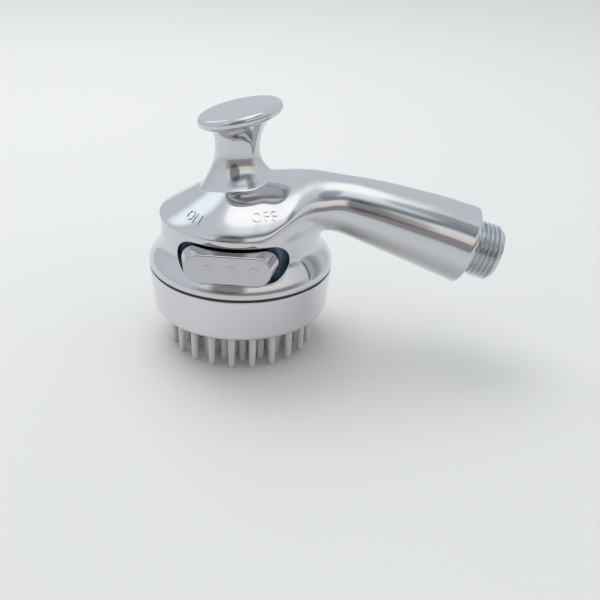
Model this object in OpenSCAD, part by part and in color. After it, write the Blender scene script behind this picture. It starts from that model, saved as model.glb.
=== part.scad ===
// Handheld bath sprayer with a bristle face, a finger knob, a slide valve
// and a hollow handle that ends in a G1/2 hose thread.
// Origin: on the head's axis, in the plane of the bristle tips.
// The handle leaves the head towards +X and the slide switch faces -Y.

/* [Head] */
// Radius of the skirt where it meets the lower ring
head_r = 35; // [34.5:0.1:35.5]
// Radius of the upright wall under the crown
wall_r = 30.15; // [30:0.05:30.3]
// Height of the skirt's lower face above the bristle tips
skirt_z = 33; // [33]
// Height where the wall starts to sweep out into the skirt
sweep_z = 44; // [43:0.5:45]

/* [Crown] */
// Radius of the crown's rim, which stands just proud of the wall
crown_r = 30.4; // [30.3:0.05:30.6]
// Height of the rim on the side away from the handle
rim_z = 52.7; // [52.5:0.1:53]
// Fullness of the crown's cross-section, where 1 is a cone and 2 an ellipse
crown_power = 1.47; // [1.4:0.01:1.6]

/* [Handle] */
// Distance of the handle's end face from the head's axis
handle_end_x = 85.2; // [85:0.1:86]
// Height of the centre of the handle's end face
handle_end_z = 44.3; // [44:0.1:44.6]
// Fall of the handle's straight part, in degrees
handle_fall = 16; // [15.5:0.1:16.5]
// Radius of the neck where the handle leaves the crown
neck_r = 10.4; // [10.3:0.05:10.6]
// Radius of the handle at its end
handle_end_r = 14.8; // [14.6:0.1:15]

/* [Finger knob] */
// Radius of the stem at its waist
waist_r = 8.1; // [7.9:0.05:8.3]
// Radius of the stem where it spreads on the crown
foot_r = 14; // [13.8:0.1:14.2]
// Radius of the stem under the cap
collar_r = 11.9; // [11.4:0.1:12]
// Radius of the round cap
cap_r = 15.6; // [15:0.1:16.5]
// Thickness of the cap
cap_t = 4.2; // [4:0.1:4.5]
// Slope of the cap, in degrees, higher towards the handle
cap_tilt = 13.5; // [12:0.5:15]

/* [Slide switch] */
// Length of the opening in the wall
slot_l = 40; // [39:0.5:40.5]
// Height of the opening in the wall
slot_h = 12.4; // [12.2:0.1:12.8]
// Height of the middle of the opening above the bristle tips
slot_z = 44.2; // [44.2]
// Travel of the button from ON to OFF
slide_travel = 3; // [3]

/* [Brush] */
// Height of the lower ring's bottom edge above the bristle tips
ring_z = 15.2; // [15:0.1:16]
// Radius of the circle of the outer bristle tips
outer_row_r = 27; // [26.8:0.1:27.2]
// Radius of a bristle at its root
root_r = 1.6; // [1.3:0.1:1.6]
// Radius of a bristle near its tip
tip_r = 1.15; // [1:0.05:1.2]

/* [Hose thread] */
// Outer diameter of the G1/2 thread
thread_d = 20.955; // [20.955]
// Length of the thread outside the handle
thread_l = 11.3; // [11:0.1:12]

/* [Hidden] */
$fn = 96;

// Colours
chrome = [0.80, 0.82, 0.84];
satin = [0.68, 0.70, 0.72];
milky = [0.90, 0.90, 0.88];
white = [0.93, 0.93, 0.92];
black = [0.10, 0.10, 0.11];
ink = [0.12, 0.15, 0.20];
steel = [0.62, 0.63, 0.65];

// Facets of the lofted skins
ring_points = 48;
crown_steps = 26;
handle_steps = 12;
stem_steps = 14;

// Crown: the ridge line climbs from the rim to the neck as one cubic curve
neck_x = 26;
ridge_lead = [7.9, 76.7];
ridge_crest = [-9.8, 64];
rim_rise_from = 8;
rim_rise_to = 25;
shallow_keel = 3;
wall_drop = 0.1;
shoulder_from = 25.5;
shoulder_to = 31.5;
round_from = 20;
round_to = 40;

// Handle: a short bend leads from the level neck to the straight, widening part
bend_from = 24;
bend_to = 44;
bend_start_fall = 0.02;
taper_from = 36;
end_round = 1.5;
fall_rate = tan(handle_fall);

// Stem
stem_x = -1.6;
foot_z = 64.65;
foot_depth = 2.6;
waist_z = 77.2;
collar_x = -0.75;
collar_z = 87.3;
foot_tilt = 11.5;
foot_flare = 2;
collar_flare = 2.5;
foot_lean = 1.15;
collar_lean = 1.5;
cap_shift = 0.5;
knob_spigot_r = 5;
knob_spigot_l = 5.5;

// Inside of the head
cavity_r = 28;
boss_r = 3.2;
boss_circle = 22.5;
boss_angles = [-28, 65, 160];
screw_r = 1.5;
chassis_low = 29.5;
chassis_r = 31;
chamber_r = 28.6;
plate_z = 20.5;
plate_t = 1.8;
pad_flange_z = 18.7;

// Water way in the handle, measured along its axis from the end face inwards
nipple_seat_r = 11.5;
nipple_seat_l = 20;
tube_r = 4.8;
tube_bore = 3.6;
tube_from = 10;
tube_to = 55.5;
elbow_r = 9;
elbow_start = 57.5;
socket_r = 7.2;
seal_groove_r = 6.2;

// Valve
valve_y = -9;
spool_bore = 4.8;
land_r = 4.75;
groove_r = 3.5;
tower_x = handle_end_x - elbow_start * cos(handle_fall) - elbow_r * (1 + sin(handle_fall));
outlet_x = -4;
inlet_x = 4.6;

// Switch
guide_back_y = -18.6;
guide_r = 27.7;
button_face_y = -34;
button_back_y = -23.6;
button_x = -0.6;
face_l = 30.8;
face_h = 10.6;
face_z = slot_z - 0.35;
base_l = 34.5;
base_h = 11.4;
neck_l = 7;
neck_h = 4.6;

// ---------------------------------------------------------------- curves

function mix(a, b, t) = a + (b - a) * t;
function ease(a, b, x) = let(t = min(1, max(0, (x - a) / (b - a)))) t * t * (3 - 2 * t);
function bezier(a, b, c, d, t) =
    pow(1 - t, 3) * a + 3 * pow(1 - t, 2) * t * b + 3 * (1 - t) * t * t * c + pow(t, 3) * d;
function power(v, e) = sign(v) * pow(abs(v), e);

// Height and slope of the handle's centre line over the distance x from the head's axis
function fall(x) = mix(bend_start_fall, fall_rate, min(1, max(0, (x - bend_from) / (bend_to - bend_from))));
function line_z(x) = handle_end_z + (handle_end_x - x) * fall_rate;
function axis_z(x) = x > bend_to ? line_z(x)
    : line_z(bend_to) + (bend_to - x) * (fall_rate + fall(x)) / 2;
function handle_r(x) = let(along = max(0, x - taper_from) / (handle_end_x - taper_from))
    mix(neck_r, handle_end_r, pow(along, 1.15));

// Rim of the crown: its height, and its half width, which narrows into the neck
function rim_height(x) = mix(rim_z, axis_z(rim_rise_to), ease(rim_rise_from, rim_rise_to, x));
function rim_circle(x) = sqrt(max(0, crown_r * crown_r - x * x));
function shoulder(t, a, b, slope) = let(s = shoulder_to - shoulder_from)
    (2 * t * t * t - 3 * t * t + 1) * a + (t * t * t - 2 * t * t + t) * s * slope
    + (3 * t * t - 2 * t * t * t) * b;
function half_width(x) = x <= shoulder_from ? rim_circle(x)
    : x >= shoulder_to ? handle_r(x)
    : shoulder((x - shoulder_from) / (shoulder_to - shoulder_from), rim_circle(shoulder_from), neck_r,
        -shoulder_from / rim_circle(shoulder_from));

// One closed section: an arch over the rim line and a rounded keel under it
function fullness(x) = mix(crown_power, 2, ease(round_from, round_to, x));
function section(c, lean, w, up, down, power_up) = [for (k = [0 : ring_points - 1])
    let(a = 360 * k / ring_points, top = a < 180, e = top ? 2 / power_up : 1,
        y = w * power(cos(a), e), v = (top ? up : down) * power(sin(a), e))
    [c[0] + v * sin(lean), y, c[1] + v * cos(lean)]];

function crown_section(t) = let(
        neck_top = [neck_x, axis_z(neck_x) + neck_r],
        p = bezier([-crown_r, rim_z], ridge_lead, ridge_crest, neck_top, t), x = p[0],
        low = rim_height(x), keel = mix(shallow_keel, neck_r, ease(rim_rise_from, rim_rise_to, x)))
    section([x, low], 0, half_width(x), p[1] - low, keel, fullness(x));
function handle_section(x) = let(r = handle_r(x), w = half_width(x))
    section([x, axis_z(x)], atan(fall(x)), w, r, r, fullness(x));
function end_section(a) = let(r = handle_end_r - end_round * (1 - cos(a)), s = end_round * (1 - sin(a)))
    section([handle_end_x - s * cos(handle_fall), handle_end_z + s * sin(handle_fall)],
        handle_fall, r, r, r, 2);

function stem_section(z) = let(
        low = z < waist_z,
        u = low ? (waist_z - z) / (waist_z - foot_z) : (z - waist_z) / (collar_z - waist_z),
        r = waist_r + ((low ? foot_r : collar_r) - waist_r) * pow(u, low ? foot_flare : collar_flare),
        lean = (low ? foot_tilt : cap_tilt) * pow(u, low ? foot_lean : collar_lean),
        x = stem_x + (low ? 0 : (collar_x - stem_x) * u * u))
    [for (k = [0 : ring_points - 1]) let(a = 360 * k / ring_points)
        [x + r * cos(a) * cos(lean), r * sin(a), z + r * cos(a) * sin(lean)]];

// Skin through a list of sections that all have ring_points points
module loft(rows) {
    n = ring_points;
    last = len(rows) - 1;
    points = [for (row = rows) each row];
    sides = [for (i = [0 : last - 1], k = [0 : n - 1]) let(m = (k + 1) % n)
        each [[i * n + k, (i + 1) * n + k, (i + 1) * n + m], [i * n + k, (i + 1) * n + m, i * n + m]]];
    caps = [[for (k = [0 : n - 1]) k], [for (k = [n - 1 : -1 : 0]) last * n + k]];
    polyhedron(points, concat(sides, caps));
}

// ---------------------------------------------------------------- helpers

// A frame on the handle's axis: z runs from the end face into the handle
module along_handle(from = 0) {
    translate([handle_end_x, 0, handle_end_z])
        rotate([0, handle_fall - 90, 0]) translate([0, 0, from]) children();
}

module along_x(x, y, z) {
    translate([x, y, z]) rotate([0, 90, 0]) children();
}

module tube(r_out, r_in, h) {
    difference() {
        cylinder(r = r_out, h = h);
        translate([0, 0, -1]) cylinder(r = r_in, h = h + 2);
    }
}

module o_ring(mean_r, wire_r) {
    rotate_extrude() translate([mean_r, 0]) circle(r = wire_r, $fn = 24);
}

module stadium(l, h) {
    for (side = [-1, 1]) translate([side * (l - h) / 2, 0]) circle(d = h);
    square([l - h, h], center = true);
}

// A stadium standing in the wall's opening and reaching from y_from to y_to
module slot_prism(l, h, y_from, y_to) {
    translate([0, y_to, slot_z]) rotate([90, 0, 0]) linear_extrude(y_to - y_from) stadium(l, h);
}

// ---------------------------------------------------------------- body

module bell() {
    sweep = [for (i = [0 : 12])
        bezier([wall_r, sweep_z], [wall_r, 40.2], [head_r - 0.1, 37.6], [head_r, skirt_z + 0.8], i / 12)];
    top = axis_z(rim_rise_to) + 1;
    step = 1.5;
    difference() {
        rotate_extrude() polygon(concat([[0, skirt_z], [head_r - 0.3, skirt_z], [head_r, skirt_z + 0.3]],
            [for (i = [12 : -1 : 0]) sweep[i]], [[wall_r, top], [0, top]]));
        // everything above the rim line, which climbs towards the handle
        translate([0, 40, 0]) rotate([90, 0, 0]) linear_extrude(80)
            polygon(concat([for (x = [0 : step : rim_rise_to + step]) [x, rim_height(x) - wall_drop]],
                [[40, top + 5], [-40, top + 5], [-40, rim_z - wall_drop]]));
    }
}

module crown_and_handle() {
    loft(concat(
        [for (i = [0 : crown_steps]) crown_section(max(0.0003, ease(0, 1, i / crown_steps)))],
        [for (x = [28, 29.5, 31, 32.5, 35, 38, 41, 44]) handle_section(x)],
        [for (i = [1 : handle_steps - 1])
            handle_section(mix(bend_to, handle_end_x - 2, i / (handle_steps - 1)))],
        [for (a = [0, 30, 60, 90]) end_section(a)]));
}

module stem() {
    // the flare runs on below the foot's height, so that it ends inside the crown all round
    loft([for (i = [0 : stem_steps]) stem_section(mix(foot_z - foot_depth, collar_z, i / stem_steps))]);
}

module head_cavity() {
    rotate_extrude() polygon([[0, skirt_z - 1], [cavity_r, skirt_z - 1], [cavity_r, 51.5],
        [26.5, 52.4], [20, 54.5], [14, 57], [8, 60], [0, 60]]);
    // hollow of the stem
    translate([stem_x, 0, 58]) cylinder(r = 5, h = 19.5);
    // room for the elbow under the neck
    along_x(12, 0, 59.2) cylinder(r = 7.2, h = 24);
    translate([tower_x, 0, 45]) cylinder(r = 6.8, h = 15);
}

module screw_bosses() {
    for (a = boss_angles) rotate(a) translate([boss_circle, 0, 0]) difference() {
        translate([0, 0, skirt_z]) cylinder(r = boss_r, h = 21.9);
        translate([0, 0, skirt_z - 1]) cylinder(r = screw_r + 0.03, h = 12);
    }
}

module body_shell() {
    color(chrome) {
        difference() {
            union() {
                bell();
                crown_and_handle();
                stem();
            }
            head_cavity();
            // blind hole for the cap's spigot
            translate([collar_x, 0, collar_z]) rotate([0, -cap_tilt, 0])
                translate([0, 0, -knob_spigot_l - 0.3]) cylinder(r = knob_spigot_r, h = 10);
            // handle: recess for the nipple's flange, its seat and the tapering hollow
            along_handle(-1) cylinder(r = 12.8, h = 4.5);
            along_handle(3) cylinder(r = nipple_seat_r, h = nipple_seat_l - 3);
            along_handle(nipple_seat_l - 0.01) cylinder(r1 = 11.1, r2 = 7.7, h = 38);
            slot_prism(slot_l, slot_h, -40, -10);
        }
        screw_bosses();
    }
}

module knob_cap() {
    nose = 2;
    color(chrome) translate([collar_x, 0, collar_z]) rotate([0, -cap_tilt, 0]) {
        translate([cap_shift, 0, 0]) rotate_extrude() {
            translate([0, 0]) square([cap_r - nose, cap_t - 0.4]);
            translate([cap_r - nose, nose]) circle(r = nose, $fn = 48);
            polygon([[0, 3], [cap_r - nose, 3], [cap_r - nose, 2 * nose], [8, cap_t], [0, cap_t + 0.15]]);
        }
        translate([0, 0, -knob_spigot_l]) cylinder(r = knob_spigot_r - 0.05, h = knob_spigot_l + 1);
    }
}

// ---------------------------------------------------------------- lower head

module head_gasket() {
    color(black) translate([0, 0, skirt_z - 1]) tube(head_r - 0.2, chassis_r + 0.1, 1);
}

module head_ring() {
    top = skirt_z - 1;
    color(chrome) rotate_extrude() polygon([
        [chassis_r + 0.1, top], [head_r - 0.3, top], [head_r, top - 0.3],
        [33.85, ring_z + 1.6], [33.65, ring_z + 0.8], [33.1, ring_z + 0.2], [32.3, ring_z],
        [29, ring_z], [29, pad_flange_z], [chassis_r + 0.1, pad_flange_z]]);
}

// Rows of the brush: count, radius and angle of the first bristle
function brush_rows() = [[22, outer_row_r, -90], [20, 22.1, -81], [16, 17.2, -90],
    [12, 12.3, -75], [6, 6.9, -90], [1, 0, 0]];
// Rows of spray holes between them
function hole_rows() = [[20, 24.6, -90], [16, 19.7, -78.75], [12, 14.8, -90], [8, 9.6, -67.5]];

module each_place(rows) {
    for (row = rows, k = [0 : row[0] - 1])
        rotate(row[2] + 360 * k / row[0]) translate([row[1], 0, 0]) children();
}

module bristle() {
    rotate_extrude($fn = 24)
        polygon([[0, 0], [tip_r - 0.4, 0], [tip_r, 0.6], [root_r, 17.2], [0, 17.2]]);
}

module bristle_pad() {
    color(milky) difference() {
        union() {
            translate([0, 0, ring_z + 0.4]) cylinder(r = 28.9, h = pad_flange_z - ring_z);
            translate([0, 0, pad_flange_z]) cylinder(r = chassis_r - 0.1, h = plate_z - pad_flange_z);
            each_place(brush_rows()) bristle();
        }
        each_place(hole_rows()) translate([0, 0, ring_z - 1]) cylinder(r = 0.7, h = 6, $fn = 24);
    }
}

module spray_plate() {
    color(white) difference() {
        translate([0, 0, plate_z]) cylinder(r = chassis_r - 0.1, h = plate_t);
        each_place(hole_rows()) translate([0, 0, plate_z - 1]) cylinder(r = 0.6, h = 5, $fn = 24);
    }
}

module plate_seal() {
    color(black) translate([0, 0, plate_z + plate_t]) tube(chassis_r - 0.2, chamber_r + 0.1, 1);
}

module chassis() {
    low_face = plate_z + plate_t + 1;
    color(white) difference() {
        translate([0, 0, low_face]) cylinder(r = chassis_r, h = skirt_z - low_face);
        translate([0, 0, plate_z]) cylinder(r = chamber_r, h = chassis_low - plate_z);
        for (a = boss_angles) rotate(a) translate([boss_circle, 0, 0]) {
            cylinder(r = screw_r + 0.1, h = 40);
            translate([0, 0, chassis_low - 1]) cylinder(r = 3.1, h = 1.6);
        }
        translate([outlet_x, valve_y, 20]) cylinder(r = 3, h = 20);
        block_screw_places() translate([0, 0, chassis_low + 0.8]) cylinder(r = 1.23, h = 4);
    }
}

module chassis_screws() {
    head_z = chassis_low + 0.6;
    color(steel) for (a = boss_angles) rotate(a) translate([boss_circle, 0, 0]) {
        translate([0, 0, head_z - 1.8]) difference() {
            cylinder(r = 2.9, h = 1.8);
            translate([0, 0, -1]) cylinder(r = 1.3, h = 1.9, $fn = 6);
        }
        translate([0, 0, head_z - 0.1]) cylinder(r = screw_r, h = 11.5);
    }
}

// ---------------------------------------------------------------- valve

module block_screw_places() {
    for (p = [[8, 11], [-14, 0]]) translate([p[0], p[1], 0]) children();
}

module valve_block() {
    foot_t = 2.5;
    gallery_z = slot_z - 4;
    dx = tower_x - inlet_x;
    run = norm([dx, valve_y]);
    color(white) difference() {
        union() {
            along_x(-15, valve_y, slot_z) cylinder(r = 7, h = 28);
            translate([tower_x, 0, skirt_z]) cylinder(r = 7, h = 14.5);
            translate([outlet_x, valve_y, skirt_z]) cylinder(r = 5.6, h = 8);
            translate([inlet_x, valve_y, gallery_z]) rotate([0, 0, atan2(-valve_y, dx)])
                rotate([0, 90, 0]) cylinder(r = 4.6, h = run);
            translate([-10, -13, skirt_z]) cube([26, 13, foot_t]);
            block_screw_places() translate([0, 0, skirt_z]) cylinder(r = 3.5, h = foot_t);
            translate([4.5, -3, skirt_z]) cube([7, 14, foot_t]);
            translate([-14, -3.5, skirt_z]) cube([8, 7, foot_t]);
        }
        // spool bore and the wide chamber where water passes the middle land
        along_x(-16, valve_y, slot_z) cylinder(r = spool_bore, h = 29.6);
        along_x(-7.5, valve_y, slot_z) cylinder(r = 5.9, h = 8.7);
        // outlet, inlet gallery and the elbow's socket with its seal groove
        translate([outlet_x, valve_y, skirt_z - 1]) cylinder(r = 3, h = 8);
        translate([outlet_x, valve_y, skirt_z - 1]) cylinder(r = 4.9, h = 2.2);
        translate([inlet_x, valve_y, gallery_z]) rotate([0, 0, atan2(-valve_y, dx)])
            rotate([0, 90, 0]) cylinder(r = 2.7, h = run);
        translate([tower_x, 0, skirt_z + 3]) cylinder(r = tube_bore, h = 20);
        translate([tower_x, 0, skirt_z + 8]) cylinder(r = tube_r + 0.1, h = 20);
        translate([tower_x, 0, skirt_z + 10]) cylinder(r = seal_groove_r, h = 1.6);
        block_screw_places() translate([0, 0, skirt_z - 1]) cylinder(r = 1.3, h = 10);
    }
}

module block_screws() {
    color(steel) block_screw_places() {
        translate([0, 0, skirt_z + 2.5]) difference() {
            cylinder(r = 2.4, h = 1.6);
            translate([0, 0, 0.8]) cylinder(r = 1.1, h = 1, $fn = 6);
        }
        translate([0, 0, skirt_z - 2.3]) cylinder(r = 1.2, h = 4.9);
    }
}

module outlet_seal() {
    color(black) translate([outlet_x, valve_y, skirt_z + 0.6]) o_ring(4.3, 0.58);
}

module inlet_elbow() {
    bend = [handle_end_x - elbow_start * cos(handle_fall) - elbow_r * sin(handle_fall),
        handle_end_z + elbow_start * sin(handle_fall) - elbow_r * cos(handle_fall)];
    color(white) difference() {
        union() {
            along_handle(49.5) cylinder(r = socket_r, h = elbow_start - 49.1);
            elbow_bend(bend, 5.2);
            translate([tower_x, 0, skirt_z + 14.7]) cylinder(r = 5.5, h = bend[1] - skirt_z - 14.4);
            translate([tower_x, 0, skirt_z + 8.2]) cylinder(r = tube_r, h = 7);
        }
        along_handle(49) cylinder(r = tube_r + 0.1, h = tube_to - 49);
        along_handle(51) cylinder(r = seal_groove_r, h = 1.6);
        along_handle(54) cylinder(r = tube_bore, h = elbow_start - 53.7);
        elbow_bend(bend, tube_bore - 0.1);
        translate([tower_x, 0, skirt_z + 7]) cylinder(r = tube_bore, h = bend[1] - skirt_z - 6.7);
    }
}

// Quarter-and-a-bit torus that turns the handle's line down into the valve block
module elbow_bend(centre, r) {
    translate([centre[0], 0, centre[1]]) rotate([90, 0, 0])
        rotate([0, 0, 90 - handle_fall]) rotate_extrude(angle = 90 + handle_fall)
            translate([elbow_r, 0]) circle(r = r, $fn = 48);
}

module elbow_seal() {
    color(black) translate([tower_x, 0, skirt_z + 10.8]) o_ring(5.5, 0.68);
}

module water_tube() {
    color(white) along_handle(tube_from) tube(tube_r, tube_bore, tube_to - tube_from - 0.2);
}

module tube_front_seal() {
    color(black) along_handle(51.8) o_ring(5.5, 0.68);
}

module tube_rear_seal() {
    color(black) along_handle(14.8) o_ring(5.5, 0.68);
}

module hose_nipple() {
    color(satin) difference() {
        union() {
            along_handle(-thread_l) cylinder(d = thread_d, h = thread_l + 1);
            along_handle(0.6) cylinder(r = 12.7, h = 2.9);
            along_handle(3) cylinder(r = nipple_seat_r - 0.05, h = nipple_seat_l - 4);
        }
        along_handle(-thread_l - 1) cylinder(r = 7.5, h = 8);
        along_handle(-thread_l) cylinder(r = 5.5, h = 15);
        along_handle(0) cylinder(r = tube_bore, h = 12);
        along_handle(tube_from - 0.2) cylinder(r = tube_r + 0.1, h = 20);
        along_handle(14) cylinder(r = seal_groove_r, h = 1.6);
        along_handle(7) difference() {
            cylinder(r = nipple_seat_r + 1, h = 1.8);
            translate([0, 0, -1]) cylinder(r = 10.2, h = 4);
        }
    }
}

module nipple_seal() {
    color(black) along_handle(7.9) o_ring(10.85, 0.64);
}

module flow_restrictor() {
    holes = 6;
    color(white) along_handle(-thread_l + 5) difference() {
        union() {
            cylinder(r = 7.45, h = 2);
            translate([0, 0, 2]) cylinder(r = 5.3, h = 2);
        }
        for (k = [0 : holes - 1]) rotate(360 * k / holes) translate([3.4, 0, -1]) cylinder(r = 1, h = 6);
    }
}

// ---------------------------------------------------------------- switch

module switch_guide() {
    color(ink) difference() {
        intersection() {
            translate([0, 0, skirt_z]) cylinder(r = guide_r, h = 18.4);
            translate([-30, -30, skirt_z]) cube([60, guide_back_y + 30, 30]);
        }
        slot_prism(slot_l, slot_h, -40, button_back_y + 0.3);
        // passage of the carrier's neck, with its travel
        translate([button_x - neck_l / 2 - 0.4, -30, slot_z - neck_h / 2 - 0.3])
            cube([neck_l + slide_travel + 0.8, 20, neck_h + 0.6]);
    }
}

// One outline of the button, with as many points as a loft's section
function stadium_ring(l, h, y, z) = [for (k = [0 : ring_points - 1])
    let(a = 360 * (k + 0.5) / ring_points, side = cos(a) > 0 ? 1 : -1)
    [button_x + side * (l - h) / 2 + h / 2 * cos(a), y, z + h / 2 * sin(a)]];

module switch_button() {
    color(chrome) difference() {
        loft([stadium_ring(base_l, base_h, button_back_y, slot_z), stadium_ring(base_l, base_h, -27, slot_z),
            stadium_ring(face_l, face_h, button_face_y + 0.5, face_z),
            stadium_ring(face_l - 0.9, face_h - 0.9, button_face_y, face_z)]);
        // pocket for the carrier's neck
        translate([button_x - neck_l / 2, -27, slot_z - neck_h / 2]) cube([neck_l, 6, neck_h]);
    }
}

module switch_carrier() {
    plate_y = -18.3;
    fork_x = -20.3;
    color(white) difference() {
        union() {
            translate([button_x - neck_l / 2, -27, slot_z - neck_h / 2]) cube([neck_l, 10, neck_h]);
            translate([fork_x, plate_y, slot_z - 5]) cube([30, 2, 10]);
            translate([fork_x, plate_y, slot_z - 5]) cube([2, 14.3, 10]);
        }
        // fork round the spool's neck
        along_x(fork_x - 1, valve_y, slot_z) cylinder(r = 1.7, h = 4);
        translate([fork_x - 1, valve_y, slot_z - 1.7]) cube([4, 6, 3.4]);
    }
}

module valve_spool() {
    profile = [[-21.6, 3], [-20.4, 3], [-20.4, 1.6], [-18.2, 1.6], [-18.2, 3.2], [-14.5, 3.2],
        [-14.5, land_r], [-13.5, land_r], [-13.5, groove_r], [-12, groove_r], [-12, land_r],
        [-11, land_r], [-11, 2.5], [-2.35, 2.5], [-2.35, land_r], [-1.75, land_r],
        [-1.75, groove_r], [-0.25, groove_r], [-0.25, land_r], [0.35, land_r], [0.35, 2.5],
        [7.6, 2.5], [7.6, land_r], [8.3, land_r], [8.3, groove_r], [9.8, groove_r],
        [9.8, land_r], [10.4, land_r]];
    color(satin) along_x(0, valve_y, slot_z) rotate_extrude()
        polygon(concat([[0, -21.6]], [for (p = profile) [p[1], p[0]]], [[0, 10.4]]));
}

module spool_seals() {
    color(black) for (x = [-12.75, -1, 9.05]) along_x(x, valve_y, slot_z) o_ring(4.14, 0.63);
}

body_shell();
knob_cap();
head_gasket();
head_ring();
bristle_pad();
spray_plate();
plate_seal();
chassis();
chassis_screws();
valve_block();
block_screws();
outlet_seal();
inlet_elbow();
elbow_seal();
water_tube();
tube_front_seal();
tube_rear_seal();
hose_nipple();
nipple_seal();
flow_restrictor();
switch_guide();
switch_button();
switch_carrier();
valve_spool();
spool_seals();
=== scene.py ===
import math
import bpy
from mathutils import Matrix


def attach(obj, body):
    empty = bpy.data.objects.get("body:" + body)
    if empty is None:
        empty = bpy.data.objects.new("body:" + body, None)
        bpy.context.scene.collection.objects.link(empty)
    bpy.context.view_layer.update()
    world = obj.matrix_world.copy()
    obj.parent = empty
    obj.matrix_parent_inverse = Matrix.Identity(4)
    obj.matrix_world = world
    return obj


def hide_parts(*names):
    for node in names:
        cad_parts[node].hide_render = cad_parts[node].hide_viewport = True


bl_info = {
    "name": "Handheld bath sprayer",
    "version": (1, 0, 0),
    "blender": (4, 5, 0),
    "location": "3D View > Sidebar > Sprayer",
    "description": "Dresses the CAD frame of a handheld bath sprayer with finished pieces and a small studio",
    "category": "Object",
}

import bpy
import numpy as np
from bpy.props import FloatProperty, FloatVectorProperty, IntProperty, PointerProperty
from mathutils import Matrix
from mathutils.geometry import delaunay_2d_cdt

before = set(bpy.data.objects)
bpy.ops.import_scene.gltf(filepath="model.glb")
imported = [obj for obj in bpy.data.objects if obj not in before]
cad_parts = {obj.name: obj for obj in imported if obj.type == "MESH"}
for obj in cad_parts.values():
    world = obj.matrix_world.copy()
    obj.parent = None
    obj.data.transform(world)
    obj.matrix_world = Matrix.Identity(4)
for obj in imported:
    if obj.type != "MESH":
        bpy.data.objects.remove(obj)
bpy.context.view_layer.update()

# Lengths below are in millimetres, as on the drawing; meshes are written in metres.
MM = 0.001
BODY = "sprayer"
SLIDER = "slider"

# Head: heights of the skirt's edge, of the wall's foot and of the crown's rim; rounding of the skirt's edge
SKIRT_Z = 33.0
SWEEP_Z = 44.0
RIM_Z = 52.7
SKIRT_EDGE = 0.35
# Hollow of the head: its radius, the height where its wall ends, and its ceiling as radius and height
CAVITY_R = 28.0
CAVITY_TOP = 51.0
CEILING = ((CAVITY_R, CAVITY_TOP), (26.5, 52.0), (20.0, 54.5), (14.0, 56.5), (8.0, 58.0), (0.0, 58.0))

# Crown: its power, the handles of the ridge's curve and where the ridge joins the neck
CROWN_POWER = 1.47
RIDGE_LEAD = (7.9, 76.7)
RIDGE_CREST = (-9.8, 64.0)
RIDGE_SOFTNESS = 7.0
NECK_X = 26.0

# From and to along x: the rim climbs, the plan narrows, the section rounds, the axis bends, the sections lean
RISE = (8.0, 25.0)
SHOULDER = (23.0, 41.0)
ROUNDING = (25.0, 47.0)
BEND = (24.0, 44.0)
LEANING = (20.0, 30.0)
LIP_DEPTH = 0.5
# Tables of the sections: their step and the steps that a smoothing reaches; then width, from and to of each smoothing
TABLE_STEP = 0.05
SMOOTH_REACH = 180
SMOOTHING = (1.5, 10.0, 18.0)
PLAN_SMOOTHING = (2.8, 27.0, 36.0)
# The neck's fillet grows with the depth under the rim and along x, from and to
FILLET_DEPTH = (0.0, 6.0)
FILLET_ALONG = (10.0, 20.0)

# Handle: centre of its end, its fall, where the taper starts and how much fuller it is than a plain taper
HANDLE_END = (85.2, 44.3)
HANDLE_FALL = math.radians(16.0)
START_FALL = 0.02
TAPER_X = 36.0
TAPER_POWER = 1.15
SWELL = (26.0, 56.0, 64.0, 90.0)
SWELL_BY = 0.62
END_ROUND = 1.5
RECESS_R = 12.8
RECESS_DEPTH = 3.5

# Stem and cap: heights, radii, tilts in degrees, and powers of the flare and the lean below and above the waist
STEM_X = -1.6
FOOT_Z = 64.65
WAIST_Z = 77.2
WAIST_R = 8.1
FOOT_R = 14.0
COLLAR = (-0.75, 87.3)
COLLAR_R = 11.9
FOOT_TILT = 11.5
CAP_TILT = 13.5
CAP_SHIFT = 0.5
FLARE = (2.0, 2.5)
LEAN = (1.15, 1.5)
FOOT_HOLE = (-25.5, 22.5)

# Slide switch: heights of the opening and the face; place, depths, base and rounding of the button; its marks
SLOT_Z = 44.2
FACE_Z = 43.85
BUTTON_X = -0.6
BUTTON_FACE_Y = -34.0
BUTTON_BACK_Y = -23.6
BUTTON_BASE_Y = (-26.8, -27.0)
BUTTON_BASE = (34.5, 11.4)
BUTTON_ROUND = 0.55
MARKS = (-7.1, 1.0, 9.1)
MARK_RISE, MARK_EDGE = 0.16, 0.4

# Words on the crown's rim: text, azimuth from the handle in degrees, height, and rise along the line
WORDS = (("ON", 124.5, 56.4, -0.02), ("OFF", 64.6, 58.9, 0.07))
WORD_STRETCH = (1.03, 0.6)

# Brush: heights, and rows of bristles and spray holes as count, radius and start angle in degrees
RING_Z = 15.2
PLATE_Z = 20.5
PAD_FLANGE_Z = 18.7
PAD_FACE_Z = 15.6
CHASSIS_R = 31.0
BRISTLE_ROWS = (
    (22, 27.0, -90.0), (20, 22.1, -81.0), (16, 17.2, -90.0), (12, 12.3, -75.0), (6, 6.9, -90.0), (1, 0.0, 0.0),
)
BRISTLE_LEAN = 0.008
HOLE_ROWS = ((20, 24.6, -90.0), (16, 19.7, -78.75), (12, 14.8, -90.0), (8, 9.6, -67.5))
HOLE_R = 0.7

# Camera: a 48 mm lens above the front of the head
CAMERA_AT = (35.47, -277.55, 168.32)
CAMERA_PITCH = math.radians(28.75)
CAMERA_ROLL = math.radians(2.63)
CAMERA_TURN = math.radians(2.48)
CAMERA_LENS = 48.0

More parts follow.
